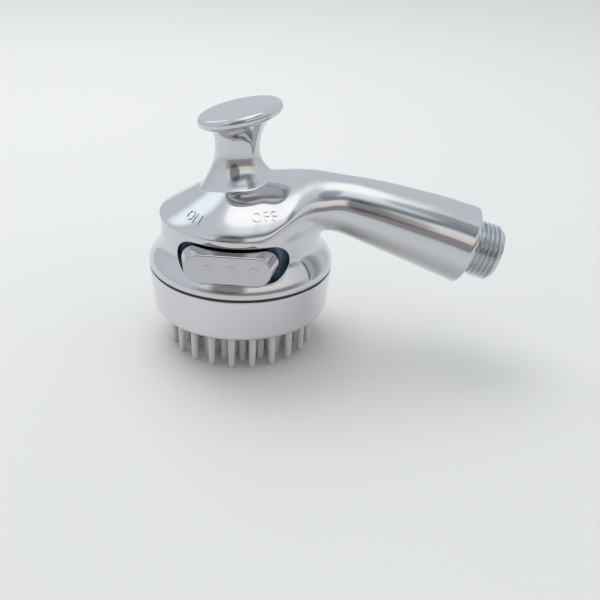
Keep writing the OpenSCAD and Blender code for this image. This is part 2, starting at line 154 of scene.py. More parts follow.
# Room that the plate mirrors: colour at each elevation in degrees, for its front and its rear half
FRONT_ROOM = (
    (0, (0.33, 0.34, 0.37)), (9, (0.29, 0.29, 0.32)), (11, (0.36, 0.27, 0.26)), (18, (0.38, 0.30, 0.28)),
    (22, (0.78, 0.76, 0.72)), (36, (0.92, 0.91, 0.89)), (41, (0.50, 0.53, 0.57)), (43, (0.25, 0.28, 0.32)),
    (50, (0.28, 0.31, 0.35)), (53, (0.55, 0.58, 0.61)), (60, (0.98, 0.99, 1.0)), (66, (1.3, 1.3, 1.3)),
    (90, (1.42, 1.42, 1.42)),
)
REAR_ROOM = (
    (0, (0.60, 0.63, 0.67)), (12, (0.64, 0.68, 0.72)), (30, (0.67, 0.72, 0.76)), (60, (0.68, 0.72, 0.76)),
    (68, (0.82, 0.85, 0.87)), (75, (1.3, 1.3, 1.3)), (90, (1.42, 1.42, 1.42)),
)
# The middle of the front half, and how far toward it the two halves blend
FRONT_WAY, FRONT_EDGE = (0.35, -0.94, 0), (0.15, 0.7)
# Soft round patches: turn from the front to +x, rise, reach and soft edge in degrees, and gain
ROOM_PATCHES = ((-130, 38, 4, 15, 1.7), (54, 59, 5, 9, 0.5), (-10, 30, 13, 12, 0.34))
BACKDROP = 0.84

# Stage, in metres: half the floor's side, the soft lamp, what it points at and its sides
FLOOR_HALF = 3.0
LAMP_AT, LAMP_TO, LAMP_SIZE = (-0.25, 0.35, 0.8), (0.02, 0, 0.05), (0.7, 0.5)


# ------------------------------------------------------------------ sizes and colours

def length(name, text, value):
    return FloatProperty(name=name, description=text, default=value * MM, min=0.0,
                         unit="LENGTH", subtype="DISTANCE")


def colour(name, text, value):
    return FloatVectorProperty(name=name, description=text, default=value, size=3,
                               min=0.0, max=1.0, subtype="COLOR")


class ShellSizes(bpy.types.PropertyGroup):
    """Sizes of the one-piece moulding"""
    head_radius: length("Skirt radius", "Radius of the skirt above the ring", 35.0)
    wall_radius: length("Wall radius", "Radius of the upright wall", 30.15)
    crown_radius: length("Crown radius", "Radius of the crown's rim", 30.4)
    neck_radius: length("Neck radius", "Radius of the handle where it leaves the crown", 10.4)
    end_radius: length("End radius", "Radius of the handle at its end", 14.8)
    neck_fillet: length("Neck fillet", "Softness of the corner between the neck and the wall", 4.0)
    foot_fillet: length("Foot fillet", "Height where the stem starts to bend onto the crown, by the handle", 1.9)


class SwitchSizes(bpy.types.PropertyGroup):
    """Sizes of the slide switch"""
    slot_length: length("Slot length", "Length of the opening", 40.0)
    slot_height: length("Slot height", "Height of the opening", 12.4)
    lip: length("Lip", "Rounding of the opening's edge", 0.45)
    face_length: length("Face length", "Length of the button's flat face", 30.8)
    face_height: length("Face height", "Height of the button's flat face", 11.0)
    mark_radius: length("Mark radius", "Radius of each round mark on the face", 1.75)
    letter_height: length("Letter height", "Height of the raised letters", 3.9)
    letter_raise: length("Letter relief", "How far the letters stand proud", 0.3)


class BrushSizes(bpy.types.PropertyGroup):
    """Sizes of the brush"""
    root_radius: length("Root radius", "Radius of a bristle at its root", 1.6)
    tip_radius: length("Tip radius", "Radius of a bristle near its tip", 1.15)
    bristle_length: length("Bristle length", "From tip to pad", 17.1)
    sides: IntProperty(name="Sides", description="Sides of a bristle", default=16, min=6, max=32)
    seed: IntProperty(name="Seed", description="Seed of the bristles' slight lean", default=7, min=0)


class ThreadSizes(bpy.types.PropertyGroup):
    """Sizes of the G1/2 hose thread"""
    crest_radius: length("Crest radius", "Radius over the crests", 10.4775)
    pitch: length("Pitch", "Distance from crest to crest", 1.814)
    depth: length("Depth", "Height of a crest above the root", 1.16)
    exposed: length("Exposed length", "Length outside the handle", 11.3)


class Finishes(bpy.types.PropertyGroup):
    """Colours of the finishes"""
    chrome: colour("Chrome", "Plated shell and cap", (0.655, 0.66, 0.675))
    # the ring is the shell's chrome with a painted lighter tint, where it mirrors the floor in the head's shadow
    ring: colour("Ring", "Shell chrome, painted lighter on the lower ring", (0.715, 0.71, 0.74))
    button: colour("Button", "Plated button", (0.56, 0.55, 0.59))
    nipple: colour("Nipple", "Plated brass nipple", (0.60, 0.625, 0.65))
    elastomer: colour("Elastomer", "Pad and bristles", (0.72, 0.72, 0.69))
    white: colour("White plastic", "Inner mouldings", (0.82, 0.82, 0.80))
    dark: colour("Dark plastic", "Guide behind the button", (0.09, 0.15, 0.21))
    rubber: colour("Rubber", "Gasket and O-rings", (0.022, 0.022, 0.024))
    steel: colour("Steel", "Screws", (0.58, 0.59, 0.61))


class StudioSettings(bpy.types.PropertyGroup):
    """The floor and the light"""
    floor: colour("Floor", "Colour of the floor", (0.81, 0.805, 0.79))
    world_level: FloatProperty(name="World level", description="Strength of the light from all round",
                               default=1.04, min=0.0)
    lamp_level: FloatProperty(name="Lamp level", description="Power of the soft lamp",
                              default=2.6, min=0.0, unit="POWER")


# ------------------------------------------------------------------ small maths

def mix(a, b, t):
    return a + (b - a) * t


def ease(a, b, x):
    """0 before a, 1 after b, with no kink in slope or curvature."""
    t = np.clip((x - a) / (b - a), 0.0, 1.0)
    return t * t * t * (t * (6.0 * t - 15.0) + 10.0)


def unit(vectors):
    return vectors / np.maximum(np.linalg.norm(vectors, axis=-1, keepdims=True), 1e-12)


def lattice_normals(points, wrap=False):
    """Normals of a lattice of points, from the differences along its rows and columns."""
    along = np.gradient(points, axis=0)
    if wrap:
        across = np.roll(points, -1, axis=1) - np.roll(points, 1, axis=1)
    else:
        across = np.gradient(points, axis=1)
    return unit(np.cross(along, across))


def handle_frame():
    """Columns: the handle's end axes, with z running into the handle."""
    c, s = math.cos(HANDLE_FALL), math.sin(HANDLE_FALL)
    return np.array([[s, 0, -c], [0, 1, 0], [c, 0, s]]), np.array([HANDLE_END[0], 0, HANDLE_END[1]])


def tilted_frame(origin, tilt, shift=0.0):
    """A frame turned about y, so that its +x side is raised."""
    c, s = math.cos(math.radians(tilt)), math.sin(math.radians(tilt))
    axes = np.array([[c, 0, -s], [0, 1, 0], [s, 0, c]])
    return axes, np.array([origin[0], 0, origin[1]]) + axes @ np.array([shift, 0, 0])


def inside(loop, points):
    """True for the points that lie inside a closed flat loop."""
    result = np.zeros(len(points), bool)
    x, y = points[:, 0], points[:, 1]
    for (x1, y1), (x2, y2) in zip(loop, np.roll(loop, -1, axis=0)):
        if y1 != y2:
            result ^= ((y1 > y) != (y2 > y)) & (x < (x2 - x1) * (y - y1) / (y2 - y1) + x1)
    return result


def lengths_along(line):
    """Distance from the first point of a line to each of its points."""
    return np.concatenate([[0], np.cumsum(np.linalg.norm(np.diff(line, axis=0), axis=1))])


def full_turn(count):
    """Angles that are even round a circle."""
    return np.linspace(0, 2 * math.pi, count, endpoint=False)


def circle_points(count):
    """Points that are even round a flat circle of radius 1."""
    return np.array([(math.cos(a), math.sin(a)) for a in full_turn(count)])


# ------------------------------------------------------------------ meshes

class Skin:
    """Gathers patches of one surface. Patches that meet share points and keep their own normals."""

    def __init__(self):
        self.points, self.normals, self.faces, self.count = [], [], [], 0

    def patch(self, points, normals, faces, mirrored=False):
        points, normals = (np.array(v, float).reshape(-1, 3) for v in (points, normals))
        if mirrored:
            points[:, 1] *= -1
            normals[:, 1] *= -1
        self.points.append(points)
        self.normals.append(normals)
        self.faces += [[self.count + i for i in face] for face in faces]
        self.count += len(points)

    def grid(self, points, normals, wrap=False, mirrored=False):
        """Adds a whole lattice of points."""
        self.patch(points, np.broadcast_to(normals, points.shape), lattice_faces(*points.shape[:2], wrap), mirrored)

    def build(self, name, merge=1e-4):
        """Joins the patches; each face is turned to agree with its normals."""
        points, normals = np.concatenate(self.points), np.concatenate(self.normals)
        keys = np.round(points / merge).astype(np.int64)
        _, first, index = np.unique(keys, axis=0, return_index=True, return_inverse=True)
        index = index.ravel()
        faces, corners = [], []
        for face in self.faces:
            kept = [i for k, i in enumerate(face) if index[i] != index[face[k - 1]]]
            if len({int(index[i]) for i in kept}) != len(kept) or len(kept) < 3:
                continue
            ring = points[kept]
            facing = np.cross(ring[1] - ring[0], ring[2] - ring[0])
            if len(kept) == 4:
                facing = facing + np.cross(ring[2] - ring[0], ring[3] - ring[0])
            if facing @ normals[kept].sum(0) < 0:
                kept.reverse()
            faces.append([int(index[i]) for i in kept])
            corners += kept
        mesh = bpy.data.meshes.new(name)
        mesh.from_pydata((points[first] * MM).tolist(), [], faces)
        mesh.polygons.foreach_set("use_smooth", [True] * len(mesh.polygons))
        mesh.update()
        mesh.normals_split_custom_set(unit(normals[corners]).tolist())
        return place(bpy.data.objects.new(name, mesh))


def place(piece):
    """Puts a new object in the scene."""
    bpy.context.scene.collection.objects.link(piece)
    return piece


def mesh_of(piece):
    """The finished mesh of an object, which is then removed."""
    mesh = bpy.data.meshes.new_from_object(piece.evaluated_get(bpy.context.evaluated_depsgraph_get()))
    bpy.data.objects.remove(piece)
    return mesh


def lattice_faces(rows, columns, wrap=False, without=None):
    """Quads of a lattice, leaving out a block (first row, last row, first column, last column)."""
    faces = []
    for i in range(rows - 1):
        for j in range(columns if wrap else columns - 1):
            if without and without[0] <= i < without[1] and without[2] <= j < without[3]:
                continue
            k = (j + 1) % columns
            faces.append([i * columns + j, i * columns + k, (i + 1) * columns + k, (i + 1) * columns + j])
    return faces


def lathe_points(profile, angles, frame_at=None):
    """Points of a profile of (radius, height) turned through the angles."""
    profile = np.array(profile, float)
    points = np.stack([profile[:, :1] * np.cos(angles), profile[:, :1] * np.sin(angles),
                       np.repeat(profile[:, 1:], len(angles), 1)], -1)
    if frame_at:
        points = points @ frame_at[0].T + frame_at[1]
    return points


def lathe(skin, stretches, frame_at=None, turns=128):
    """Turns each stretch of an outline; the outline runs with the solid on its left, seen with z up."""
    angles = full_turn(turns)
    for stretch in stretches:
        stretch = np.array(stretch, float)
        slope = np.gradient(stretch, axis=0)
        outward = unit(np.stack([slope[:, 1], -slope[:, 0]], -1))
        normals = lathe_points(outward, angles)
        if frame_at:
            normals = normals @ frame_at[0].T
        skin.grid(lathe_points(stretch, angles, frame_at), normals, wrap=True)


def arc(centre, radius, start, stop, count=9):
    """Points of a round corner, with the angles in degrees."""
    a = np.radians(np.linspace(start, stop, count))
    return np.stack([centre[0] + radius * np.cos(a), centre[1] + radius * np.sin(a)], -1)


def curve_points(a, b, c, d, count):
    """Points of one cubic Bezier curve."""
    t = np.linspace(0, 1, count)[:, None]
    a, b, c, d = (np.array(p, float) for p in (a, b, c, d))
    return (1 - t) ** 3 * a + 3 * (1 - t) ** 2 * t * b + 3 * (1 - t) * t * t * c + t ** 3 * d


def stadium(l, h, spacing=0.7):
    """Points of a long hole with round ends, and the directions that point out of it."""
    n_side, n_end = int((l - h) / spacing), int(math.pi * h / 2 / spacing)
    half = (l - h) / 2
    points, outward = [], []
    for side in (1, -1):
        a = np.radians(np.linspace(-90, 90, n_end, endpoint=False)) + (0 if side > 0 else math.pi)
        d = np.stack([np.cos(a), np.sin(a)], -1)
        points.append(np.array([side * half, 0]) + d * h / 2)
        outward.append(d)
        x = np.linspace(side * half, -side * half, n_side, endpoint=False)
        points.append(np.stack([x, np.full(n_side, side * h / 2)], -1))
        outward.append(np.tile([0.0, side], (n_side, 1)))
    return np.concatenate(points), np.concatenate(outward)


def triangulate(border, holes, loose=(), clear=0.3):
    """Triangles of a flat region. Points are numbered border first, then the holes, then the loose ones."""
    points = np.concatenate([border, *holes])
    edges, start = [], 0
    for loop in (border, *holes):
        n = len(loop)
        edges += [(start + k, start + (k + 1) % n) for k in range(n)]
        start += n
    kept = []
    if len(loose):
        free = np.ones(len(loose), bool)
        for hole in holes:
            gap = np.linalg.norm(loose[:, None] - hole[None], axis=-1).min(1)
            free &= ~inside(hole, loose) & (gap > clear)
        kept = np.flatnonzero(free)
        points = np.concatenate([points, loose[kept]])
    found = delaunay_2d_cdt([tuple(p) for p in points], edges, [], 0, 1e-7)
    if any(not source for source in found[3]):
        raise RuntimeError("the outlines of a flat region cross")
    source = [s[0] for s in found[3]]
    triangles = np.array([[source[i] for i in face] for face in found[2]])
    middle = points[triangles].mean(1)
    good = inside(border, middle)
    for hole in holes:
        good &= ~inside(hole, middle)
    return triangles[good], kept


def cut_lattice(skin, points, normals, flat, block, hole, hole_points, hole_normals):
    """Adds a lattice patch with one hole, which lies inside the block of rows and columns."""
    r0, r1, c0, c1 = block
    rows, columns = points.shape[:2]
    index = np.arange(rows * columns).reshape(rows, columns)
    skin.patch(points, normals, lattice_faces(rows, columns, without=block))
    border = np.concatenate([index[r0, c0:c1], index[r0:r1, c1], index[r1, c1:c0:-1], index[r1:r0:-1, c0]])
    loose = index[r0 + 1:r1, c0 + 1:c1].ravel()
    flat = flat.reshape(-1, 2)
    triangles, kept = triangulate(flat[border], [hole], flat[loose])
    around_hole = (np.concatenate([values.reshape(-1, 3)[border], at_hole, values.reshape(-1, 3)[loose[kept]]])
                   for values, at_hole in ((points, hole_points), (normals, hole_normals)))
    skin.patch(*around_hole, triangles.tolist())


# ------------------------------------------------------------------ the moulding's form

class ShellForm:
    """The outer form of the crown, neck, handle and skirt, as functions of place."""

    def __init__(self, sizes):
        self.head, self.wall, self.rim, self.neck, self.end, self.fillet = (v / MM for v in (
            sizes.head_radius, sizes.wall_radius, sizes.crown_radius, sizes.neck_radius, sizes.end_radius,
            sizes.neck_fillet))
        self.fall = math.tan(HANDLE_FALL)
        self.make_tables()
        sweep = curve_points((self.wall, SWEEP_Z), (self.wall, 40.2), (self.head - 0.1, 37.6),
                             (self.head, SKIRT_Z + 0.8), 200)[::-1]
        self.bell_z = np.concatenate([[0], sweep[:, 1], [100]])
        self.bell_r = np.concatenate([[self.head], sweep[:, 0], [self.wall]])

    def axis(self, x):
        """Height of the handle's axis, which bends into a straight fall."""
        line = HANDLE_END[1] + (HANDLE_END[0] - x) * self.fall
        at_bend = HANDLE_END[1] + (HANDLE_END[0] - BEND[1]) * self.fall
        return np.where(x > BEND[1], line, at_bend + (BEND[1] - x) * (self.fall + self.slope(x)) / 2)

    def slope(self, x):
        """Fall of the axis."""
        return mix(START_FALL, self.fall, np.clip((x - BEND[0]) / (BEND[1] - BEND[0]), 0, 1))

    def swell(self, x):
        """How much fuller the handle is between its ends than a plain taper."""
        return SWELL_BY * ease(*SWELL[:2], x) * (1 - ease(*SWELL[2:], x))

    def handle_radius(self, x):
        """Radius of the plain taper."""
        along = np.clip((x - TAPER_X) / (HANDLE_END[0] - TAPER_X), 0, None)
        return mix(self.neck, self.end, along ** TAPER_POWER)

    def make_tables(self):
        """Each measure of the cross-sections, along x. Past the stem they are smoothed a little."""
        x = self.x = np.arange(-self.rim, HANDLE_END[0] + 3, TABLE_STEP)
        ridge = curve_points((-self.rim, RIM_Z), RIDGE_LEAD, RIDGE_CREST,
                             (NECK_X, float(self.axis(NECK_X)) + self.neck), 1500)
        top = np.interp(x, ridge[:, 0], ridge[:, 1])
        centre = self.axis(x) + self.swell(x)
        radius = self.handle_radius(x) + self.swell(x)
        low = np.where(x < RISE[1], mix(RIM_Z, float(self.axis(RISE[1])), ease(*RISE, x)), centre)
        circle = np.sqrt(np.maximum(0, self.rim ** 2 - np.minimum(x, SHOULDER[0]) ** 2))
        span = SHOULDER[1] - SHOULDER[0]
        t = np.clip((x - SHOULDER[0]) / span, 0, 1)
        edge = math.sqrt(self.rim ** 2 - SHOULDER[0] ** 2)
        shoulder = ((2 * t ** 3 - 3 * t * t + 1) * edge - (t ** 3 - 2 * t * t + t) * span * SHOULDER[0] / edge
                    + (3 * t * t - 2 * t ** 3) * self.neck)
        width = np.where(x <= SHOULDER[0], circle, np.where(x >= SHOULDER[1], radius, shoulder))
        columns = {
            "up": np.where(x < NECK_X, top - low, radius),
            "low": low,
            "width2": width ** 2,
            "keel": np.where(x < RISE[1], mix(LIP_DEPTH, self.neck, ease(RISE[0] - 6, RISE[1], x)), radius),
            "power": mix(CROWN_POWER, 2.0, ease(*ROUNDING, x)),
            "lean": np.arctan(self.slope(x)) * ease(*LEANING, x),
        }
        reach = np.arange(-SMOOTH_REACH, SMOOTH_REACH + 1)

        def smooth(values, width, start, stop):
            """The values blurred along x, fully so from stop onwards."""
            weights = np.exp(-0.5 * (reach * TABLE_STEP / width) ** 2)
            beyond = values[-1] + (values[-1] - values[-2]) * np.arange(1, SMOOTH_REACH + 1)
            padded = np.concatenate([np.full(SMOOTH_REACH, values[0]), values, beyond])
            return mix(values, np.convolve(padded, weights / weights.sum(), "valid"), ease(start, stop, x))

        self.table = {name: smooth(values, *SMOOTHING) for name, values in columns.items()}
        self.table["width2"] = smooth(self.table["width2"], *PLAN_SMOOTHING)

    def at(self, name, x):
        """One measure of the cross-section at x."""
        return np.interp(x, self.x, self.table[name])

    def share(self, y, width2, power):
        """How far a point is from the ridge to the rim, from 0 to 1."""
        soft = RIDGE_SOFTNESS ** power
        reach = (width2 + RIDGE_SOFTNESS ** 2) ** (power / 2) - soft
        return np.clip(((y * y + RIDGE_SOFTNESS ** 2) ** (power / 2) - soft) / np.maximum(reach, 1e-9), 0, 1)

    def section(self, x, turn):
        """Points of the section at x. Turn is 0 on the ridge, 90 at the back rim, 180 under the keel."""
        x, turn = np.broadcast_arrays(np.asarray(x, float), np.asarray(turn, float))
        width2, power = self.at("width2", x), self.at("power", x)
        y = np.sqrt(width2) * np.sin(turn)
        above = self.at("up", x) * (1 - self.share(y, width2, power)) ** (1 / power)
        v = np.where(np.cos(turn) > 1e-9, above, self.at("keel", x) * np.minimum(0, np.cos(turn)))
        lean = self.at("lean", x)
        return np.stack([x + v * np.sin(lean), y, self.at("low", x) + v * np.cos(lean)], -1)

    def section_normals(self, x, turn):
        """Normals of the sections. At the rim's crease they are those just beside it."""
        limit = math.radians(0.5)
        x, turn = np.broadcast_arrays(np.asarray(x, float), np.asarray(turn, float))
        for rim in (-math.pi / 2, math.pi / 2):
            near = np.abs(turn - rim) < limit
            above = np.abs(turn) <= abs(rim) + 1e-6
            turn = np.where(near, rim + np.where(above, -np.sign(rim), np.sign(rim)) * limit, turn)
        step = np.minimum(0.05, 0.2 * (x + self.rim) + 1e-4)
        low, high = np.maximum(x - step, -self.rim + 1e-5), x + step
        along = self.section(high, turn) - self.section(low, turn)
        across = self.section(x, turn + 0.002) - self.section(x, turn - 0.002)
        return unit(np.cross(along, across))

    def crown_z(self, x, y):
        """Height of the crown over a place near the head's axis."""
        width2, power = self.at("width2", x), self.at("power", x)
        return self.at("low", x) + self.at("up", x) * (1 - self.share(y, width2, power)) ** (1 / power)

    def crown_normals(self, x, y):
        """Normals of the crown near the head's axis."""
        d = 0.05
        along = (self.crown_z(x + d, y) - self.crown_z(x - d, y)) / (2 * d)
        across = (self.crown_z(x, y + d) - self.crown_z(x, y - d)) / (2 * d)
        return unit(np.stack([-along, -across, np.ones_like(along)], -1))

    def bell(self, z):
        """Radius of the wall and skirt."""
        return np.interp(z, self.bell_z, self.bell_r)

    def under(self, x, y, z):
        """Distance from the wall, skirt and keel as one blended solid, with the place along the section."""
        slope = (self.bell(z + 0.1) - self.bell(z - 0.1)) / 0.2
        wall = (np.hypot(x, y) - self.bell(z)) / np.sqrt(1 + slope ** 2)
        station = x
        for _ in range(5):
            station = x - (z - self.at("low", station)) * np.tan(self.at("lean", station))
        lean = self.at("lean", station)
        v = (z - self.at("low", station)) * np.cos(lean) + (x - station) * np.sin(lean)
        down = np.minimum(v, 0)
        width2, keel = np.maximum(self.at("width2", station), 1e-3), self.at("keel", station)
        q = np.sqrt(y * y / width2 + (down / keel) ** 2)
        steep = np.sqrt(y * y / width2 ** 2 + down ** 2 / keel ** 4)
        neck = (q - 1) * q / np.maximum(steep, 1e-6)
        neck = np.where(x < SHOULDER[0], np.maximum(neck, np.hypot(x, y) - self.rim), neck)
        soft = self.fillet * ease(*FILLET_DEPTH, -v) * ease(*FILLET_ALONG, x) + 1e-4
        h = np.clip(0.5 + 0.5 * (neck - wall) / soft, 0, 1)
        return mix(neck, wall, h) - soft * h * (1 - h), station, v

    def under_normals(self, points):
        """Normals of the blended wall, skirt and keel."""
        d = 0.02
        x, y, z = points[..., 0], points[..., 1], points[..., 2]
        slopes = []
        for dx, dy, dz in ((d, 0, 0), (0, d, 0), (0, 0, d)):
            slopes.append(self.under(x + dx, y + dy, z + dz)[0] - self.under(x - dx, y - dy, z - dz)[0])
        return unit(np.stack(slopes, -1))

    def climb(self, ends, start_z):
        """Lines that climb the skirt and wall, each in its own upright plane, and end at the given points."""
        azimuth = np.arctan2(-ends[:, 1], ends[:, 0])
        azimuth[0], azimuth[-1] = math.pi, 0.0
        c, s = np.cos(azimuth), np.sin(azimuth)

        def value(r, z):
            return self.under(r * c, -r * s, z)

        step, longest, d = 0.2, 60.0, 0.01
        r, z = np.full(len(ends), self.head), np.full(len(ends), start_z)
        lines = [np.stack([r, z], -1)]
        for _ in range(int(longest / step)):
            gr = value(r + d, z)[0] - value(r - d, z)[0]
            gz = value(r, z + d)[0] - value(r, z - d)[0]
            size = np.maximum(np.hypot(gr, gz), 1e-9)
            r, z = r - gz / size * step, z + gr / size * step
            for _ in range(2):
                gr = (value(r + d, z)[0] - value(r - d, z)[0]) / (2 * d)
                gz = (value(r, z + d)[0] - value(r, z - d)[0]) / (2 * d)
                size = np.maximum(gr * gr + gz * gz, 1e-3)
                f = np.clip(value(r, z)[0], -0.3, 0.3)
                r, z = r - f * gr / size, z - f * gz / size
            lines.append(np.stack([r, z], -1))
        lines = np.stack(lines)
        target = np.stack([np.hypot(ends[:, 0], ends[:, 1]), ends[:, 2]], -1)
        gap = np.linalg.norm(lines - target, axis=-1)
        if gap.min(0).max() > step:
            raise RuntimeError("a line under the neck missed its end")
        return lines, gap.argmin(0), azimuth

    def under_lattice(self, ends, start_z, rows):
        """The climbing lines with an even number of points, as a lattice of rows and columns."""
        lines, stop, azimuth = self.climb(ends, start_z)
        lattice = np.empty((len(rows), len(ends), 3))
        for j, end in enumerate(ends):
            line = lines[:stop[j], j]
            line = np.concatenate([line, [[math.hypot(end[0], end[1]), end[2]]]])
            along = lengths_along(line)
            r, z = (np.interp(rows * along[-1], along, line[:, k]) for k in (0, 1))
            lattice[:, j] = np.stack([r * math.cos(azimuth[j]), -r * math.sin(azimuth[j]), z], -1)
        lattice[-1] = ends
        return lattice, azimuth


def stem_columns(count=96):
    """Columns of the stem from the cap down into the crown."""
    turn, below_foot = full_turn(count), 3.5
    z = np.concatenate([np.linspace(COLLAR[1], WAIST_Z, 120),
                        np.linspace(WAIST_Z, FOOT_Z - below_foot, 240)[1:]])[:, None]
    low = z < WAIST_Z
    u = np.where(low, (WAIST_Z - z) / (WAIST_Z - FOOT_Z), (z - WAIST_Z) / (COLLAR[1] - WAIST_Z))
    r = WAIST_R + np.where(low, FOOT_R - WAIST_R, COLLAR_R - WAIST_R) * u ** np.where(low, *FLARE)
    lean = np.radians(np.where(low, FOOT_TILT, CAP_TILT)) * u ** np.where(low, *LEAN)
    x = STEM_X + np.where(low, 0.0, (COLLAR[0] - STEM_X) * u * u)
    points = np.stack([x + r * np.cos(turn) * np.cos(lean), r * np.sin(turn) + 0 * z,
                       z + r * np.cos(turn) * np.sin(lean)], -1)
    return turn, points


def fillet_columns(form, turn, points, fillet, rows=44, bend_rows=12):
    """Ends the stem's columns a little above the crown and bends each onto it, tightest at the back of the head."""
    height = points[..., 2] - form.crown_z(points[..., 0], points[..., 1])
    lattice = np.empty((rows + bend_rows - 1, len(turn), 3))
    tightest = 0.3
    for j, angle in enumerate(turn):
        gap = mix(tightest, fillet, ((1 + math.cos(angle)) / 2) ** 0.6)
        k = int(np.argmax(height[:, j] < gap))
        if k < 2:
            raise RuntimeError("a column of the stem never comes near the crown")
        line = points[:k, j]
        along = lengths_along(line)
        spread = np.linspace(0, along[-1], rows)
        lattice[:rows, j] = np.stack([np.interp(spread, along, line[:, a]) for a in range(3)], -1)
        upper, outward = lattice[rows - 1, j], np.array([math.cos(angle), math.sin(angle)])
        reach = 1.7 * gap
        near, far = (upper[:2] + outward * d for d in (0.55 * reach, reach))
        foot, handle = (np.array([*p, float(form.crown_z(p[0], p[1]))]) for p in (far, near))
        fall = unit(line[-1] - line[-4])
        lattice[rows - 1:, j] = curve_points(upper, upper + fall * 0.5 * reach, handle, foot, bend_rows)
    return lattice


def build_shell(sizes, switch):
    """The plated moulding: crown, neck, handle, skirt and stem in one skin."""
    form, skin = ShellForm(sizes), Skin()
    # stations along the crown's rim, which are even round the head and then even along the neck
    turn_to = math.acos(RISE[1] / form.rim)
    head_x = form.rim * np.cos(np.linspace(math.pi, turn_to, 100))
    neck_x = np.linspace(RISE[1], BEND[1], 27)[1:]
    tube_x = np.linspace(BEND[1], HANDLE_END[0] - END_ROUND / math.cos(HANDLE_FALL), 56)[1:]
    rim_x = np.concatenate([head_x, neck_x])
    over = np.radians(np.linspace(-90, 90, 97))
    quarter = np.radians(np.linspace(-90, -180, 25))

    # upper side, with a hole for the stem's foot
    upper_x = np.concatenate([rim_x, tube_x])
    upper = form.section(upper_x[:, None], over[None])
    upper_n = form.section_normals(upper_x[:, None], over[None])
    upper_n[0] = upper_n[1]
    turn, stem = stem_columns()
    stem = fillet_columns(form, turn, stem, sizes.foot_fillet / MM)
    stem_n = lattice_normals(stem, wrap=True)
    stem_n *= np.sign(stem_n[20, 0, 0])
    foot_n = form.crown_normals(stem[-1, :, 0], stem[-1, :, 1])
    stem_n[-1] = foot_n
    skin.grid(stem, stem_n, wrap=True)
    block = (*(int(np.searchsorted(upper_x, x)) for x in FOOT_HOLE), 16, 80)
    cut_lattice(skin, upper, upper_n, upper[..., :2], block, stem[-1, :, :2], stem[-1], foot_n)
    cap_centre = stem[0].mean(0)
    axes, _ = tilted_frame(COLLAR, CAP_TILT)
    lid = np.stack([stem[0], np.repeat(cap_centre[None], len(turn), 0)])
    skin.grid(lid, axes[:, 2], wrap=True)

    # under side: skirt, wall and the neck's keel
    side = form.section(rim_x, -math.pi / 2)
    keel = form.section(np.full(24, BEND[1]), quarter[1:])
    ends = np.concatenate([side, keel])
    rows = np.concatenate([np.linspace(0, 0.955, 78), np.linspace(0.955, 1, 15)[1:]])
    under, azimuth = form.under_lattice(ends, SKIRT_Z + SKIRT_EDGE, rows)
    under_n = form.under_normals(under)
    skin.grid(under, under_n, mirrored=True)
    slot_block(skin, form, switch, under, under_n, azimuth)
    skin_bottom(skin, form, switch, azimuth)

    # lower half of the handle, its rounded end and the recess for the nipple
    below = np.radians(np.linspace(90, 270, 49))
    tube = np.concatenate([[BEND[1]], tube_x])
    skin.grid(form.section(tube[:, None], below[None]), form.section_normals(tube[:, None], below[None]))
    handle_mouth(skin, form, np.concatenate([over, below[1:-1]]), tube_x[-1])
    return skin.build("shell_moulding")


def slot_loop(switch):
    """The opening's outline as places along x and heights, and the directions that point out of it."""
    loop, outward = stadium(switch.slot_length / MM, switch.slot_height / MM)
    return loop + (0, SLOT_Z), outward


def on_cavity(loop):
    """The opening's outline where it meets the hollow of the head."""
    return np.stack([loop[:, 0], -np.sqrt(CAVITY_R ** 2 - loop[:, 0] ** 2), loop[:, 1]], -1)


def columns_between(azimuth, low, high):
    """First and last column of a lattice between two azimuths in degrees."""
    return np.flatnonzero((azimuth > math.radians(low)) & (azimuth < math.radians(high)))[[0, -1]]


def slot_block(skin, form, switch, under, under_n, azimuth):
    """The front of the skirt and wall, with the switch's opening and its rounded lip."""
    heights = under[:, int(np.argmin(np.abs(azimuth - math.pi / 2))), 2]
    block = (*(int(np.searchsorted(heights, z)) for z in (35.6, 51.9)), *columns_between(azimuth, 38, 142))
    lip = switch.lip / MM
    loop, outward = slot_loop(switch)
    wall_n = np.stack([-outward[:, 0], 0 * outward[:, 0], -outward[:, 1]], -1)

    def lifted(flat):
        """Points of a flat outline on the wall and skirt."""
        return np.stack([flat[:, 0], -np.sqrt(form.bell(flat[:, 1]) ** 2 - flat[:, 0] ** 2), flat[:, 1]], -1)

    outer = lifted(loop + outward * lip)
    corner = lifted(loop)
    hole = np.stack([form.wall * np.arctan2(-outer[:, 1], outer[:, 0]), outer[:, 2]], -1)
    flat = np.stack([form.wall * np.broadcast_to(azimuth, under.shape[:2]), under[..., 2]], -1)
    cut_lattice(skin, under, under_n, flat, block, hole, outer, form.under_normals(outer))
    inner = corner + np.array([0, lip, 0])
    b = np.linspace(0, 1, 7)[:, None, None]
    bend = (1 - b) ** 2 * outer + 2 * b * (1 - b) * corner + b * b * inner
    bend_n = lattice_normals(bend, wrap=True)
    bend_n *= np.sign((bend_n[3] * wall_n).sum())
    bend_n[0] = form.under_normals(outer)
    skin.grid(bend, bend_n, wrap=True)
    skin.grid(np.stack([inner, on_cavity(loop)]), wall_n, wrap=True)


